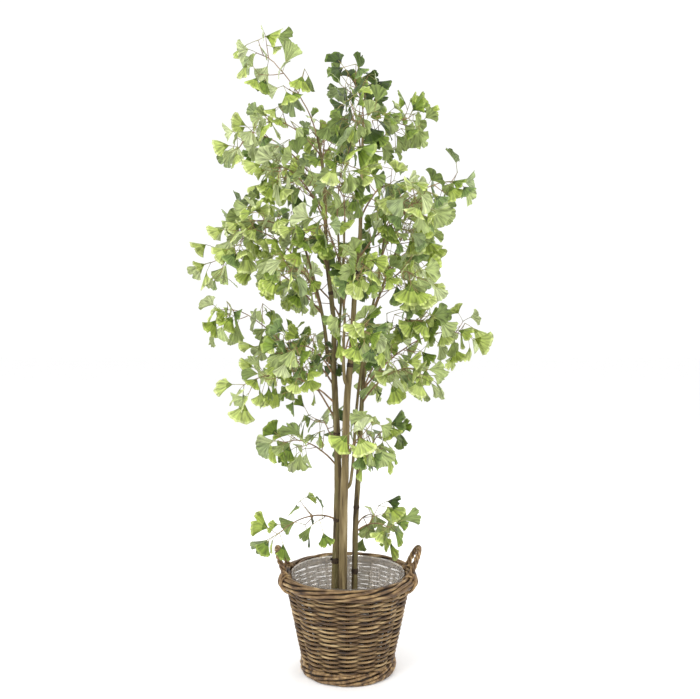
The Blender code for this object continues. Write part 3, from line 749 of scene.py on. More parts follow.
# %% Paths of the limbs, as in the part's source
LIMBS = {
    "stem_left": dict(
        path=[(-0.045, 0.010, 0.10), (-0.0395, 0.011, 0.235), (-0.0335, 0.012, 0.409),
              (-0.0305, 0.012, 0.619), (-0.0385, 0.014, 0.809), (-0.0425, 0.016, 0.919),
              (-0.0430, 0.018, 1.049), (-0.0636, 0.020, 1.219), (-0.0714, 0.022, 1.459),
              (-0.0922, 0.024, 1.589)],
        foot=0.0122, tip=0.0036, rings=15),
    "stem_middle": dict(
        path=[(-0.0175, -0.016, 0.10), (-0.0150, -0.016, 0.235), (-0.0135, -0.016, 0.459),
              (-0.0080, -0.016, 0.619), (-0.0047, -0.015, 0.769), (0.0030, -0.014, 0.869),
              (0.0125, -0.012, 0.979), (0.0190, -0.010, 1.109), (0.0345, -0.006, 1.249),
              (0.040, -0.002, 1.459), (0.046, 0.002, 1.629)],
        foot=0.0132, tip=0.0034, rings=15),
    "stem_right": dict(
        path=[(0.0175, 0.020, 0.10), (0.0200, 0.020, 0.238), (0.0228, 0.021, 0.429),
              (0.0325, 0.023, 0.589), (0.0385, 0.025, 0.739), (0.0468, 0.026, 0.869),
              (0.0555, 0.028, 0.979), (0.0780, 0.032, 1.069), (0.1457, 0.030, 1.249)],
        foot=0.0092, tip=0.0034, rings=12),
    "bough_left": dict(
        parent="stem_left", at=0.904, rings=6,
        path=[(-0.0654, 0.008, 0.978), (-0.0750, 0.003, 1.049), (-0.100, -0.004, 1.159),
              (-0.130, -0.010, 1.259)],
        foot=0.0062, tip=0.0032),
    "bough_inner": dict(
        parent="stem_left", at=0.914, rings=6,
        path=[(-0.0290, 0.036, 0.974), (-0.0240, 0.046, 1.049), (-0.0150, 0.070, 1.209),
              (-0.010, 0.090, 1.349)],
        foot=0.0046, tip=0.0030),
    "bough_middle": dict(
        parent="stem_middle", at=0.844, rings=6,
        path=[(-0.0130, -0.034, 0.914), (-0.0125, -0.039, 0.978), (-0.0100, -0.044, 1.049),
              (-0.0208, -0.060, 1.169), (-0.030, -0.075, 1.319)],
        foot=0.0052, tip=0.0030),
    "bough_right": dict(
        parent="stem_middle", at=0.534, rings=9,
        path=[(0.0130, -0.010, 0.599), (0.0180, -0.008, 0.659), (0.0270, -0.004, 0.799),
              (0.0400, -0.003, 0.889), (0.0580, -0.006, 1.009), (0.0900, -0.012, 1.159),
              (0.1080, -0.016, 1.299)],
        foot=0.0048, tip=0.0032),
}
ELBOW_CLEARANCE = 0.003
TAPER_BEND = 1.4
LIMB_PATHS = {}


def limb_radius(name, share):
    """A limb's radius at a share of its length."""
    limb = LIMBS[name]
    return limb["foot"] + (limb["tip"] - limb["foot"]) * share ** TAPER_BEND


def place_on_limb(name, height):
    """The point on a limb's axis at a height, or at its tip, and the limb's direction there."""
    path = LIMB_PATHS[name]
    if height is None:
        return path[-1], (path[-1] - path[-2]).normalized()
    for low, high in zip(path, path[1:]):
        if low.z <= height <= high.z:
            share = (height - low.z) / (high.z - low.z)
            return low.lerp(high, share), (high - low).normalized()
    raise ValueError(name + " doesn't reach this height")


def radius_on_limb(name, height):
    """A limb's radius at a height, or at its tip."""
    path = LIMB_PATHS[name]
    if height is None:
        return LIMBS[name]["tip"]
    return limb_radius(name, (height - path[0].z) / (path[-1].z - path[0].z))


for name, size in LIMBS.items():
    points = [Vector(p) for p in size["path"]]
    if "parent" in size:
        root = place_on_limb(size["parent"], size["at"])[0]
        out = (points[0] - root) * Vector((1, 1, 0))
        clear = limb_radius(size["parent"], 0.5) + size["foot"] + ELBOW_CLEARANCE
        elbow = root + (out.normalized() + UP) * clear
        LIMB_PATHS[name] = [root] + smooth_path([elbow] + points, size["rings"])
    else:
        LIMB_PATHS[name] = smooth_path(points, size["rings"])
print("limbs:", len(LIMB_PATHS))


# %% Bark relief
BARK_STEP = 0.006
THICK_LIMB = 0.008


def bark_limb(name):
    """A limb with ridged bark and a few swellings, from its foot or its carrier to its tip."""
    coarse = LIMB_PATHS[name]
    length = sum((b - a).length for a, b in zip(coarse, coarse[1:]))
    count = int(length / BARK_STEP)
    path = []
    for k, point in enumerate(smooth_path(coarse, count)):
        swell = noise.noise(Vector((point.z * 14, len(name), 3)))
        path.append((point, limb_radius(name, k / (count - 1)) * (1 + 0.07 * swell)))
    sides, depth = (24, 0.00055) if limb_radius(name, 0) > THICK_LIMB else (14, 0.0003)
    made = rods(name + "_bark", [path], sides)
    shift = len(name) * 3.1
    for corner in made.data.vertices:
        at = corner.co
        ridge = noise.noise(Vector((at.x * 330, at.y * 330, at.z * 22 + shift)))
        plate = noise.noise(Vector((at.x * 120, at.y * 120, at.z * 60 + shift)))
        corner.co = at + corner.normal * depth * (1.1 * ridge + 0.7 * plate)
    return made


for name in LIMBS:
    pale = name in ("stem_middle", "bough_middle")
    slot, bark = ("pale_bark", PALE_BARK) if pale else ("dark_bark", DARK_BARK)
    finish_piece(bark_limb(name), [name], [bark])

# %% [markdown]
# Where a side shoot once grew, the stem has a darker, lumpy knot, and where a twig leaves it there
# is a small collar. Each is a short rod round the stem's own path that swells in the middle, given
# by its limb, its height, how far it stands out and half its length.

# %% Knots and collars
KNOT_SUNK = 0.0006
KNOTS = [("stem_left", 0.318, 0.0016, 0.010), ("stem_left", 0.440, 0.0011, 0.008),
         ("stem_right", 0.283, 0.0017, 0.011), ("stem_right", 0.476, 0.0016, 0.007),
         ("stem_left", 0.700, 0.0009, 0.007),
         ("stem_middle", 0.905, 0.0010, 0.008), ("stem_right", 0.720, 0.0010, 0.007),
         ("stem_left", 1.120, 0.0009, 0.006), ("stem_middle", 1.180, 0.0009, 0.006)]
lumps = []
for name, height, swell, half in KNOTS:
    path = []
    for k in range(9):
        share = (k / 8 - 0.5) * 2
        point = place_on_limb(name, height + half * share)[0]
        bulge = (swell + KNOT_SUNK) * (1 - share * share)
        path.append((point, radius_on_limb(name, height) - KNOT_SUNK + bulge))
    lumps.append(path)
knots = rods("knots", lumps, 16)
for corner in knots.data.vertices:
    corner.co += corner.normal * 0.0009 * noise.noise(corner.co * 260)
stub_root = place_on_limb("stem_left", 0.318)[0]
stub = rods("stub", [[(stub_root, 0.0052), (stub_root + Vector((-0.013, -0.004, 0.004)), 0.0046),
                      (stub_root + Vector((-0.0165, -0.005, 0.005)), 0.0036)]], 10)
finish_piece(join([knots, stub], "knots"), [], [KNOT])

# %% [markdown]
# ## How the crown grows
#
# The crown is open: each spray of leaves hangs on a main twig that climbs from its stem, bends over
# and branches. The rule below is the one that grew the part's solids, with the same seed, so twigs
# and leaves stand in the same places. A second pass then carries each spray on to finer twigs.
#
# A spray is given by its limb, the height where it leaves it (None is the limb's tip), its bearing
# in degrees, how far it reaches out and up, and the number of leaves that it has in the solids.

# %% Sprays, as in the part's source
SPRAYS = {
    "low_left": ("stem_left", 0.44, 192, 0.18, -0.035, 8),
    "low_right": ("stem_right", 0.40, 348, 0.10, 0.02, 9),
    "low_back": ("stem_right", 0.41, 60, 0.12, 0.01, 7),
    "left_a": ("stem_left", 0.60, 176, 0.16, 0.07, 11),
    "right_a": ("stem_right", 0.57, 30, 0.09, 0.13, 9),
    "front_a": ("stem_middle", 0.62, 295, 0.13, 0.08, 8),
    "back_a": ("stem_left", 0.62, 112, 0.16, 0.10, 9),
    "left_b": ("stem_left", 0.74, 181, 0.35, 0.33, 13),
    "left_c": ("stem_left", 0.79, 196, 0.275, 0.06, 11),
    "right_b": ("stem_right", 0.83, 2, 0.32, 0.16, 13),
    "right_c": ("stem_right", 0.79, 325, 0.20, 0.10, 11),
    "right_f": ("bough_right", 0.93, 350, 0.19, 0.10, 11),
    "front_b": ("stem_left", 0.87, 238, 0.22, 0.08, 11),
    "front_c": ("bough_middle", 0.93, 285, 0.22, 0.07, 11),
    "back_b": ("stem_left", 0.84, 140, 0.24, 0.10, 11),
    "back_c": ("stem_right", 0.82, 65, 0.24, 0.10, 11),
    "left_d": ("bough_left", 1.06, 180, 0.33, 0.15, 13),
    "left_e": ("bough_left", 1.15, 205, 0.24, 0.14, 11),
    "front_d": ("bough_left", 1.08, 250, 0.24, 0.08, 11),
    "front_e": ("bough_middle", 1.08, 285, 0.24, 0.09, 11),
    "front_f": ("bough_right", 1.06, 300, 0.22, 0.10, 11),
    "right_d": ("stem_right", None, 350, 0.04, 0.06, 9),
    "back_d": ("bough_inner", 1.05, 128, 0.26, 0.10, 11),
    "back_e": ("bough_inner", 1.14, 88, 0.26, 0.12, 11),
    "back_f": ("stem_right", 1.13, 58, 0.24, 0.12, 11),
    "left_f": ("bough_left", None, 178, 0.20, 0.06, 11),
    "left_g": ("stem_left", 1.42, 183, 0.26, 0.17, 12),
    "left_h": ("stem_left", 1.53, 176, 0.17, 0.10, 8),
    "front_g": ("stem_left", 1.33, 235, 0.24, 0.12, 11),
    "front_h": ("bough_middle", None, 277, 0.20, 0.13, 11),
    "front_i": ("bough_right", 1.22, 298, 0.22, 0.13, 11),
    "front_j": ("stem_middle", 1.22, 325, 0.17, 0.09, 10),
    "front_k": ("stem_left", 1.20, 222, 0.17, 0.08, 10),
    "right_e": ("bough_right", None, 358, 0.22, 0.14, 12),
    "back_g": ("bough_inner", None, 95, 0.20, 0.13, 11),
    "back_h": ("stem_left", 1.36, 140, 0.24, 0.12, 11),
    "back_i": ("stem_middle", 1.34, 58, 0.24, 0.12, 11),
    "top_left": ("stem_left", None, 186, 0.18, 0.240, 13),
    "top_middle": ("stem_middle", None, 160, 0.03, 0.12, 12),
    "top_right": ("stem_middle", 1.47, 352, 0.14, 0.16, 12),
    "top_front": ("stem_middle", 1.50, 262, 0.18, 0.10, 11),
    "top_back": ("stem_left", 1.50, 88, 0.18, 0.12, 11),
    "front_l": ("bough_middle", 1.19, 250, 0.16, 0.10, 10),
}
print("sprays:", len(SPRAYS))

# %% [markdown]
# A main twig is a smooth arch with four guide points. Each spray keeps to its own space: the points
# that lie nearer to its main twig than to any other, with a little slack close to the twig itself.


# %% Main twigs and the space each spray keeps to
GAP = 0.0003
ARCH_SHARE = 0.25
SPINE_SEGMENTS = 5
SPACE_SLACK = 0.020


def spine_path(name):
    """A spray's main twig: it climbs from its limb, arches over and ends at its tip."""
    carrier, height, bearing, reach, rise, _ = SPRAYS[name]
    root, limb_way = place_on_limb(carrier, height)
    out = Vector((math.cos(math.radians(bearing)), math.sin(math.radians(bearing)), 0))
    arch = ARCH_SHARE * reach
    if height is None:
        root = root + limb_way * GAP
        second = root + limb_way * 0.3 * math.hypot(reach, rise)
    else:
        second = root + out * 0.30 * reach + UP * (0.30 * rise + arch)
    third = root + out * 0.72 * reach + UP * (0.85 * rise + 0.9 * arch)
    end = root + out * reach + UP * rise
    path = []
    for k in range(SPINE_SEGMENTS + 1):
        t = k / SPINE_SEGMENTS
        path.append(root * (1 - t) ** 3 + second * 3 * t * (1 - t) ** 2
                    + third * 3 * t * t * (1 - t) + end * t ** 3)
    return path


def distance_to_path(point, path):
    """The distance from a point to the nearest stretch of a path."""
    best = math.inf
    for a, b in zip(path, path[1:]):
        run = b - a
        share = max(0.0, min(1.0, (point - a).dot(run) / run.length_squared))
        best = min(best, (point - a - run * share).length)
    return best


def in_own_space(points, name, spines):
    """Whether points lie no nearer to another spray's main twig than to their own."""
    for point in points:
        own = distance_to_path(point, spines[name]) - SPACE_SLACK
        if own <= 0:
            continue
        for other, path in spines.items():
            if other != name and distance_to_path(point, path) < own:
                return False
    return True


spines = {name: spine_path(name) for name in SPRAYS}
print("main twigs:", len(spines))

# %% [markdown]
# Before a twig or a leaf grows, a plain stand-in for it is tested against all that has grown.
# Blender's BVH tree finds quickly whether two meshes cut into each other.


# %% Plain stand-ins for a twig and a leaf
STALK_HALF_WIDTH = 0.0017
BLADE_SHOULDER = 0.64
LEAF_THICKNESS = 0.0015


def solid_tree(points, faces):
    """A search tree of a mesh, which finds what cuts into it."""
    return BVHTree.FromPolygons([tuple(p) for p in points], faces)


def tube(points, radii, sides):
    """Points and faces of a closed tube along a path."""
    corners = []
    side = None
    for k, centre in enumerate(points):
        along = (points[min(k + 1, len(points) - 1)] - points[max(k - 1, 0)]).normalized()
        if side is None:
            side = along.orthogonal().normalized()
        side = (side - along * side.dot(along)).normalized()
        other = along.cross(side)
        for i in range(sides):
            turn = 2 * math.pi * i / sides
            corners.append(centre + (side * math.cos(turn) + other * math.sin(turn)) * radii[k])
    faces = [list(range(sides))[::-1]]
    for k in range(len(points) - 1):
        for i in range(sides):
            j = (i + 1) % sides
            faces.append([k * sides + i, k * sides + j, (k + 1) * sides + j, (k + 1) * sides + i])
    last = (len(points) - 1) * sides
    faces.append([last + i for i in range(sides)])
    return corners, faces


def leaf_solid(root, way, face, sizes, swell=0.0, skip=0.0):
    """The part's own plain leaf: a stalk that widens into a fan, thickest at its base."""
    stalk_length, blade_length, width = sizes
    side = way.cross(face).normalized()
    half = width / 2 + swell
    half_stalk = STALK_HALF_WIDTH + swell
    neck = root + way * stalk_length - face * swell
    shoulder = neck + way * blade_length * BLADE_SHOULDER
    outline = [root + way * skip - face * swell, neck + side * half_stalk,
               shoulder + side * half, neck + way * (blade_length + swell),
               shoulder - side * half, neck - side * half_stalk]
    peak = neck + way * blade_length * 0.2 + face * (LEAF_THICKNESS + 2 * swell)
    count = len(outline)
    faces = [[k, (k + 1) % count, count] for k in range(count)]
    faces += [[0, 5, 1], [1, 5, 4, 2], [2, 4, 3]]
    return outline + [peak], faces


def hand_space(way):
    """The block of air in and around a handle's loop, which leaves stay out of."""
    near = way * (RIM_CENTRE_RADIUS - 2 * RIM_HALF)
    far = way * (RIM_CENTRE_RADIUS + 2 * RIM_HALF)
    points = [(x, y, z) for x in (near, far) for y in (-HANDLE_HALF_SPAN, HANDLE_HALF_SPAN)
              for z in (BASKET_HEIGHT, BASKET_HEIGHT + HANDLE_RISE)]
    faces = [(0, 1, 3, 2), (4, 5, 7, 6), (0, 1, 5, 4), (2, 3, 7, 6), (0, 2, 6, 4), (1, 3, 7, 5)]
    return solid_tree(points, faces)


print("stand-ins ready")


# %% The crown's memory of what has grown
class Crown:
    """What has grown so far, so that no leaf or twig touches a limb or another spray."""

    def __init__(self, spines):
        self.spines = spines
        self.grown = []
        self.solids = [hand_space(-1), hand_space(1)]
        for name, node in frame["nodes"].items():
            if not name.startswith("foliage_"):
                corners = [corner.co for corner in node.data.vertices]
                faces = [face.vertices for face in node.data.polygons]
                self.solids.append(solid_tree(corners, faces))

    def is_free(self, whole, trimmed, spray):
        """Whether a new piece clears every limb and all that has grown."""
        points, faces = whole
        centre = sum(points, Vector()) / len(points)
        size = max((p - centre).length for p in points)
        whole_tree = solid_tree(points, faces)
        trimmed_tree = solid_tree(*trimmed)
        for tree in self.solids:
            if whole_tree.overlap(tree):
                return False
        for other, middle, reach, other_whole, other_trimmed in self.grown:
            if (middle - centre).length > reach + size:
                continue
            if other == spray:
                if trimmed_tree.overlap(other_trimmed):
                    return False
            elif whole_tree.overlap(other_whole):
                return False
        return True

    def add(self, whole, trimmed, spray):
        """Remember a piece that has grown."""
        points, faces = whole
        centre = sum(points, Vector()) / len(points)
        size = max((p - centre).length for p in points)
        self.grown.append((spray, centre, size, solid_tree(points, faces), solid_tree(*trimmed)))


crown = Crown(spines)
print("solids that leaves keep clear of:", len(crown.solids))

# %% [markdown]
# A leaf leaves its twig sideways, droops and rolls by chance. Where a place is taken, the next try
# turns further round the twig, and after some tries the leaf is left out.


# %% Which way a leaf points
LEAF_ALONG = (0.1, 0.8)
LEAF_DROOP = (0.0, 1.3)
LEAF_ROLL = (0.5, 1.5)


def leaf_frame(rng, along, turn):
    """Which way a leaf leaves its twig and which way it faces."""
    side = along.orthogonal().normalized()
    other = along.cross(side)
    radial = side * math.cos(turn) + other * math.sin(turn)
    way = radial + along * rng.uniform(*LEAF_ALONG) - UP * rng.uniform(*LEAF_DROOP)
    way.normalize()
    face = UP - way * UP.dot(way)
    if face.length < 0.2:
        face = along - way * along.dot(way)
    face.normalize()
    roll = rng.choice((-1, 1)) * rng.uniform(*LEAF_ROLL)
    face = (face * math.cos(roll) + way.cross(face) * math.sin(roll)).normalized()
    return way, face


print("ways that a leaf may roll, in degrees:", [round(math.degrees(a)) for a in LEAF_ROLL])


# %% Growing one twig and one leaf
SIDE_TWIG_LENGTH = (0.050, 0.085)
SIDE_TWIG_RADIUS = 0.0017
STALK_LENGTH = (0.028, 0.044)
BLADE_LENGTH = (0.062, 0.082)
BLADE_WIDTH_SHARE = (1.20, 1.40)
LEAF_CLEARANCE = 0.0006
LEAF_ROOT_SUNK = 0.0012
SHARED_ROOT = 0.010
TWIG_TRIES = 8
LEAF_TRIES = 24


def grow_side_twig(rng, crown, spray, path, share, turn):
    """One side twig from a share of the main twig, or None where there is no room."""
    segments = len(path) - 1
    place = share * segments
    k = min(int(place), segments - 1)
    root = path[k].lerp(path[k + 1], place - k)
    along = (path[k + 1] - path[k]).normalized()
    side = along.orthogonal().normalized()
    other = along.cross(side)
    for attempt in range(TWIG_TRIES):
        angle = turn + attempt * 0.6
        radial = side * math.cos(angle) + other * math.sin(angle)
        way = (radial + along * 0.55 + UP * 0.25).normalized()
        length = rng.uniform(*SIDE_TWIG_LENGTH) * (1.1 - 0.4 * share)
        end = root + way * length
        trimmed = tube([root + way * SHARED_ROOT, end], [SIDE_TWIG_RADIUS + LEAF_CLEARANCE] * 2, 3)
        if not in_own_space([end], spray, crown.spines):
            continue
        if crown.is_free(trimmed, trimmed, spray):
            crown.add(trimmed, trimmed, spray)
            return root, end
    return None


def grow_leaf(rng, crown, spray, root, along, turn, scale=1.0):
    """One leaf at a node, or None where there is no room for it."""
    for attempt in range(LEAF_TRIES):
        way, face = leaf_frame(rng, along, turn + attempt * 0.9)
        blade_length = rng.uniform(*BLADE_LENGTH) * (1 - 0.012 * attempt) * scale
        sizes = (rng.uniform(*STALK_LENGTH), blade_length,
                 blade_length * rng.uniform(*BLADE_WIDTH_SHARE))
        sunk = root - way * LEAF_ROOT_SUNK
        whole = leaf_solid(sunk, way, face, sizes, swell=LEAF_CLEARANCE)
        if not in_own_space(whole[0][1:6], spray, crown.spines):
            continue
        trimmed = leaf_solid(sunk, way, face, sizes, swell=LEAF_CLEARANCE, skip=SHARED_ROOT)
        if crown.is_free(whole, trimmed, spray):
            crown.add(whole, trimmed, spray)
            return sunk, way, face, sizes
    return None


def spray_nodes(path, twigs):
    """The places where leaves stand: twig tips, the main twig's tip and points along it."""
    nodes = [(end, (end - root).normalized(), 2) for root, end in twigs]
    nodes.append((path[-1], (path[-1] - path[-2]).normalized(), 3))
    for share in (0.80, 0.62, 0.45, 0.30):
        place = share * SPINE_SEGMENTS
        k = int(place)
        along = (path[k + 1] - path[k]).normalized()
        nodes.append((path[k].lerp(path[k + 1], place - k), along, 2))
    for root, end in twigs:
        nodes.append((root.lerp(end, 0.55), (end - root).normalized(), 1))
    return nodes


print("tries for each leaf:", LEAF_TRIES)

# %% Grow the sprays that the solids have
SPINE_ROOT_RADIUS = 0.0034
SIDE_TWIGS = 2
GOLDEN_TURN = math.radians(137.5)
SEED = 41
for name in SPRAYS:
    radii = [SPINE_ROOT_RADIUS + LEAF_CLEARANCE] * len(spines[name])
    body = tube(spines[name], radii, 3)
    crown.add(body, tube(spines[name][1:-1], radii[1:-1], 3), name)
grown_twigs = {}
grown_leaves = {}
for number, name in enumerate(SPRAYS):
    rng = random.Random(SEED + 101 * number)
    path = spines[name]
    turn = rng.uniform(0, 2 * math.pi)
    twigs = []
    for k in range(SIDE_TWIGS):
        turn += GOLDEN_TURN
        twig = grow_side_twig(rng, crown, name, path, 0.40 + 0.48 * k / (SIDE_TWIGS - 1), turn)
        if twig:
            twigs.append(twig)
    leaves = []
    for place, along, count in spray_nodes(path, twigs):
        for _ in range(count):
            if len(leaves) == SPRAYS[name][5]:
                break
            turn += GOLDEN_TURN
            leaf = grow_leaf(rng, crown, name, place - along * LEAF_ROOT_SUNK, along, turn)
            if leaf:
                leaves.append(leaf)
    grown_twigs[name] = twigs
    grown_leaves[name] = leaves
print("leaves as in the solids:", sum(len(v) for v in grown_leaves.values()))

# %% [markdown]
# Up to here the crown is as full as the solids. The photograph's is denser, so each spray gets
# finer twigs with slightly smaller leaves, more of them higher up, in the space that it keeps to.

# %% Carry each spray on to finer twigs
FINER_SEED = 7042
EXTRA_LEAF_SCALE = 0.84
FINER_BELOW = [(0.55, ()), (0.78, (0.30, 0.52, 0.70)), (0.93, (0.30, 0.45, 0.58, 0.72)),
               (9.0, (0.16, 0.27, 0.38, 0.50, 0.62, 0.74, 0.86))]
FINER_TWIGS = {"low_left": (0.20, 0.42), "low_back": (0.40,), "left_h": (0.60,),
               "right_e": (0.30, 0.70), "top_left": (0.40, 0.60, 0.80)}


def finer_twig_places(name):
    """Where along its main twig a spray gets finer twigs."""
    if name in FINER_TWIGS:
        return FINER_TWIGS[name]
    middle = spines[name][3].z
    return next(places for below, places in FINER_BELOW if middle < below)


for number, name in enumerate(SPRAYS):
    rng = random.Random(FINER_SEED + 101 * number)
    path = spines[name]
    turn = rng.uniform(0, 2 * math.pi)
    spare = []
    for share in finer_twig_places(name):
        turn += GOLDEN_TURN
        twig = grow_side_twig(rng, crown, name, path, share, turn)
        if twig:
            grown_twigs[name].append(twig)
            direction = (twig[1] - twig[0]).normalized()
            spare += [(twig[1], direction, 2), (twig[0].lerp(twig[1], 0.6), direction, 1)]
    for place, along, count in spare:
        for _ in range(count):
            turn += GOLDEN_TURN
            leaf = grow_leaf(rng, crown, name, place, along, turn, EXTRA_LEAF_SCALE)
            if leaf:
                grown_leaves[name].append(leaf)
print("leaves in all:", sum(len(v) for v in grown_leaves.values()))

# %% [markdown]
# ## Twigs
#
# Real twigs taper and bend a little at each node. Each main twig starts inside its stem, with a
# slight swelling at the root, and the side twigs sag by a few millimetres between root and tip.

# %% Twigs
TWIG_THICKEST = 0.0031
TWIG_TIP = 0.0011


def main_twig(name):
    """A spray's main twig, a little crooked, with a swelling where it leaves its limb."""
    carrier, height = SPRAYS[name][:2]
    root_radius = min(TWIG_THICKEST, 0.62 * radius_on_limb(carrier, height))
    path = []
    for k, point in enumerate(smooth_path(spines[name], 16)):
        share = k / 15
        jitter = Vector((noise.noise(point * 38), noise.noise(point * 38 + UP * 7), 0)) * 0.0024
        radius = root_radius + (TWIG_TIP - root_radius) * share ** 0.8
        path.append((point + jitter * min(1.0, share * 4), radius * (1.5 if k == 0 else 1.0)))
    return path


def side_twig(root, end):
    """A side twig that sags a little between its root and its end."""
    path = []
    for k in range(6):
        share = k / 5
        sag = UP * (-0.05 * (end - root).length * math.sin(math.pi * share))
        path.append((root.lerp(end, share) + sag, 0.0015 - 0.0007 * share))
    return path


paths = []
for name in SPRAYS:
    paths.append(main_twig(name))
    paths += [side_twig(root, end) for root, end in grown_twigs[name]]
finish_piece(rods("twigs", paths, 6), [], [TWIG])

# %% [markdown]
# ## One leaf
#
# A ginkgo leaf is a fan: veins run out from the stalk like ribs, the outer edge is wavy, and there
# is often a notch in the middle. It could be cut from a photograph with a see-through edge, but a
# real outline holds up from every side. Each pattern starts as a flat grid. Its columns become rays
# and its rows become arcs, it is pleated along the rays, and it gets the thickness of cloth. The
# patterns differ in half their angle in degrees, in their notch, and in how they cup and curl.

# %% Leaf patterns
LEAF_COLUMNS = 16
LEAF_ROWS = 4
ROW_SHARES = (0.04, 0.36, 0.66, 0.88, 1.0)
CLOTH_SHARE = 0.009
PLEAT = 0.0075
BANDS = ("heart", "blade", "edge", "back")
HEART_REACH = 0.36
BLADE_REACH = 0.86


def band_of(face):
    """Which band of the print a face belongs to."""
    if face.normal.z < -0.25:
        return "back"
    distance = math.hypot(face.center.x, face.center.y)
    return "heart" if distance < HEART_REACH else "blade" if distance < BLADE_REACH else "edge"


def leaf_pattern(number, half_angle, notch, cup, curl):
    """One leaf of unit radius with its stalk's end at the origin, pointing along +Y, facing +Z.

    It comes with a place on the print for each corner, so that the veins can run along the rays.
    """
    rng = random.Random(number)
    frill = [rng.uniform(-0.035, 0.035) for _ in range(LEAF_COLUMNS + 1)]
    middle = rng.uniform(-0.15, 0.15)
    bpy.ops.object.select_all(action="DESELECT")
    bpy.ops.mesh.primitive_grid_add(x_subdivisions=LEAF_COLUMNS, y_subdivisions=LEAF_ROWS, size=2)
    made = bpy.context.object
    prints = []
    for corner in made.data.vertices:
        across = corner.co.x
        column = round((across + 1) / 2 * LEAF_COLUMNS)
        row = round((corner.co.y + 1) / 2 * LEAF_ROWS)
        share = ROW_SHARES[row]
        ray = half_angle * across * (0.72 + 0.28 * share)
        split = notch * math.exp(-((across - middle) / 0.10) ** 2) * share ** 5
        margin = (frill[column] + 0.02 * math.sin(2.4 * column + number)) * share ** 4
        reach = share * (1 + margin - split - 0.13 * abs(across) ** 7 * share ** 3)
        pleat = PLEAT * (1 if column % 2 else -1) * share
        bend = -cup * across * across * share - curl * share ** 2
        ripple = 0.035 * math.sin(2.6 * across * math.pi + number * 2.2) * share ** 3
        corner.co = (reach * math.sin(ray), reach * math.cos(ray), pleat + bend + ripple)
        prints.append(((across + 1) / 2, share))
    modify(made, "SOLIDIFY", thickness=CLOTH_SHARE, offset=0.0)
    for face in made.data.polygons:
        face.material_index = BANDS.index(band_of(face))
    return made, prints * 2


PATTERN_SIZES = [(38, 0.00, 0.08, 0.06), (44, 0.16, 0.14, 0.12), (50, 0.08, 0.10, 0.04),
                 (53, 0.24, 0.16, 0.10), (41, 0.12, 0.04, 0.20), (47, 0.03, 0.20, 0.14),
                 (36, 0.18, 0.06, 0.02), (50, 0.12, 0.08, 0.24), (45, 0.30, 0.05, 0.08)]
patterns = []
for number, (angle, notch, cup, curl) in enumerate(PATTERN_SIZES):
    made, prints = leaf_pattern(number, math.radians(angle), notch, cup, curl)
    mesh = made.data
    corners = np.array([corner.co[:] for corner in mesh.vertices])
    faces = [tuple(face.vertices) for face in mesh.polygons]
    bands = [face.material_index for face in mesh.polygons]
    printed = np.array([prints[n] for face in faces for n in face])
    patterns.append((corners, faces, bands, printed))
    only(made)
    bpy.ops.object.delete()
print("faces in a leaf:", len(patterns[0][1]))

# %% [markdown]
# ## Leaf colours
#
# The cloth is printed: a leaf is darker near its stalk and paler at its edge, with a greyer back.
# Leaves at the outside of the crown are lime and the inner ones deep green, as painted light and
# shade. Each band of the print is a finish of its own on the leaf's faces, streaked by fine veins:
# heart, blade, edge and back.

# %% Leaf materials
LEAF_TINTS = {
    "lime": ((114, 131, 48), (161, 175, 94), (190, 200, 132), (184, 194, 143)),
    "fresh": ((92, 114, 32), (141, 158, 67), (171, 184, 102), (161, 175, 112)),
    "green": ((60, 82, 18), (102, 123, 41), (134, 151, 68), (124, 141, 79)),
    "deep": ((28, 43, 8), (54, 73, 20), (82, 102, 38), (80, 99, 48)),
    "dusky": ((62, 84, 38), (98, 119, 62), (128, 147, 85), (142, 157, 108)),
}
VEINS = (9, 1.6, 1)


def leaf_material(name, colour):
    """Printed cloth: fine veins that run from the stalk to the edge."""
    darker = [c * 0.70 for c in colour]
    lighter = [min(255, c * 1.20) for c in colour]
    made = noisy_material(name, tones(darker, colour, lighter), VEINS, 1.0, 0.42, bump=0.3,
                          fine=2.6, coordinates="UV")
    feed(made, shader_of(made), {"Specular IOR Level": 0.30})
    return made


LEAF_MATERIALS = {tint: [leaf_material(f"leaf_{tint}_{band}", colour)
                         for band, colour in zip(BANDS, colours)]
                  for tint, colours in LEAF_TINTS.items()}
print("leaf materials:", sum(len(v) for v in LEAF_MATERIALS.values()))

# %% [markdown]
# ## Hanging the leaves
#
# Cloth leaves hang: the stalk leaves the twig and bends over, and the blade falls further than the
# stalk. Each leaf of the rule gets one of the patterns, turned into its place, and a curved stalk.
# All leaves of one tint are joined into one mesh.

# %% Tints and stalks
DUSKY_SHARE = 0.09
TINT_SCORES = (("lime", 0.70), ("fresh", 0.42), ("green", 0.16))
CROWN_REACH = 0.30


def tint_for(rng, neck, spray_shift):
    """The tint of a leaf, as painted light and shade: brighter at the outside of the crown, deeper
    inside and higher up.
    """
    outward = math.hypot(neck.x, neck.y) / CROWN_REACH
    # Painted light and shade: outer leaves get bright tints, inner ones deep tints, and low leaves
    # brighter tints against the crown's shade above them.
    score = outward * 0.55 + 0.28 - (neck.z - 0.3) * 0.14 + spray_shift + rng.uniform(-0.30, 0.30)
    if rng.random() < DUSKY_SHARE:
        return "dusky"
    return next((tint for tint, least in TINT_SCORES if score > least), "deep")


def stalk_path(sunk, neck, way, blade_way, normal, stalk_length, size):
    """A thin stalk that bows from the twig to the leaf and runs on along the blade's middle."""
    bow = way.lerp(UP, 0.25)
    return [(sunk, 0.0012), (sunk + way * stalk_length * 0.35 + bow * 0.0012, 0.00085),
            (sunk.lerp(neck, 0.72) + bow * 0.0010, 0.0008), (neck, 0.0010),
            (neck + blade_way * size * 0.10, 0.0013),
            (neck + blade_way * size * 0.30 + normal * 0.0002, 0.0005)]


print("share of dusky leaves:", DUSKY_SHARE)

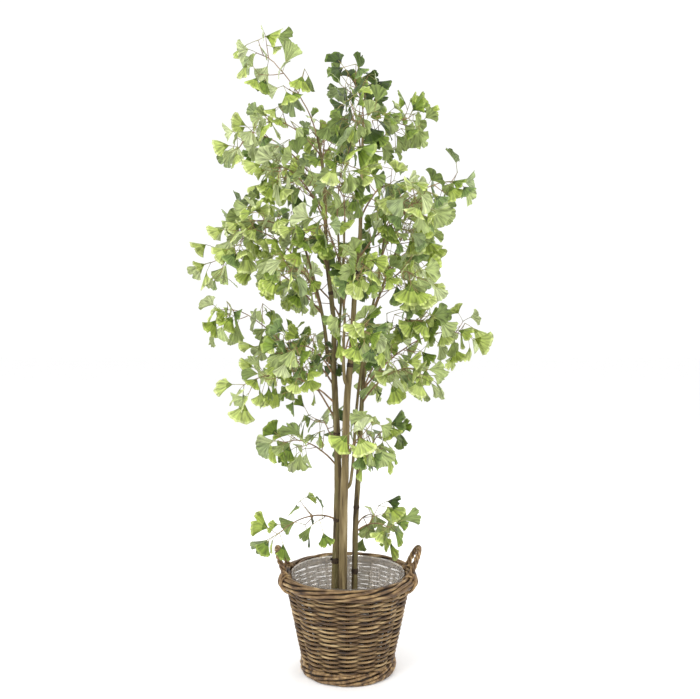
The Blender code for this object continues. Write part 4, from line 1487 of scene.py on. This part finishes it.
# %% Deal out tints and hang the leaves
BLADE_SHARE = 0.735
tint_parts = {tint: ([], [], [], []) for tint in LEAF_TINTS}
stalk_paths = []
print_shifts = random.Random(77)
rng = random.Random(1905)
for name in SPRAYS:
    spray_shift = rng.uniform(-0.22, 0.22)
    for sunk, way, face, (stalk_length, blade_length, _) in grown_leaves[name]:
        fall = rng.uniform(0.05, 0.55)
        blade_way = (way - UP * fall).normalized()
        neck = sunk + way * stalk_length * 0.94 - UP * stalk_length * 0.10 * fall
        normal = (face - blade_way * face.dot(blade_way)).normalized()
        side = blade_way.cross(normal).normalized()
        size = blade_length * BLADE_SHARE * rng.uniform(0.92, 1.08)
        corners, faces, bands, printed = patterns[rng.randrange(len(patterns))]
        placed = corners @ np.array(Matrix((side, blade_way, normal))) * size + np.array(neck)
        points, polygons, slots, print_places = tint_parts[tint_for(rng, neck, spray_shift)]
        start = sum(len(block) for block in points)
        points.append(placed)
        polygons += [tuple(start + n for n in polygon) for polygon in faces]
        slots += bands
        shift = (print_shifts.uniform(0, 30), print_shifts.uniform(0, 30))
        print_places.append(printed + shift)
        stalk_paths.append(stalk_path(sunk, neck, way, blade_way, normal, stalk_length, size))
print("leaves of each tint:", {tint: len(parts[0]) for tint, parts in tint_parts.items()})

# %% Make one mesh for each tint
for tint, (points, polygons, slots, print_places) in tint_parts.items():
    made = mesh_object("leaves_" + tint, np.concatenate(points).tolist(), [], polygons)
    made.data.polygons.foreach_set("material_index", slots)
    layer = made.data.uv_layers.new(name="veins")
    layer.data.foreach_set("uv", np.concatenate(print_places).ravel())
    for finish in LEAF_MATERIALS[tint]:
        made.data.materials.append(finish)
    finish_piece(made, [], None, smooth=False)
    only(made)
    bpy.ops.object.shade_smooth_by_angle(angle=math.radians(12))
    if tint == "lime":
        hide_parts(*["foliage_" + name for name in SPRAYS])
finish_piece(rods("leaf_stalks", stalk_paths, 4), [], [STALK])

# %% [markdown]
# ## Floor and light
#
# The tree stands in a bright white studio. A wide pale floor and a white sky give an even light
# with no hard shadow, and two large soft lamps give the leaves and the cane some shape.

# %% Floor, sky and lamps
bpy.ops.mesh.primitive_plane_add(size=60, location=(0, 0, 0))
ground = bpy.context.object
ground.name = "floor"
FLOOR = noisy_material("pale_floor", [(0.955, 0.955, 0.955), (0.965, 0.965, 0.965)], (1, 1, 1),
                       2.0, 1.0)
ground.data.materials.append(FLOOR)

world = bpy.data.worlds.new("studio")
bpy.context.scene.world = world
world.use_nodes = True
sky = world.node_tree.nodes["Background"]
sky.inputs["Color"].default_value = (1, 1, 1, 1)
sky.inputs["Strength"].default_value = 1.04


def lamp(name, place, aim, size, power):
    """A square soft lamp that points from its place at an aim."""
    bpy.ops.object.light_add(type="AREA", location=place)
    made = bpy.context.object
    made.name = name
    made.data.size = size
    made.data.energy = power
    made.rotation_euler = (Vector(aim) - Vector(place)).to_track_quat("-Z", "Y").to_euler()


lamp("key_lamp", (-2.2, -2.6, 3.4), (0, 0, 1.0), 2.0, 90)
lamp("fill_lamp", (2.8, -2.0, 2.2), (0, 0, 0.8), 2.4, 40)
lamp("back_lamp", (0.8, 2.8, 3.2), (0, 0, 1.2), 2.4, 45)
print("lights ready")
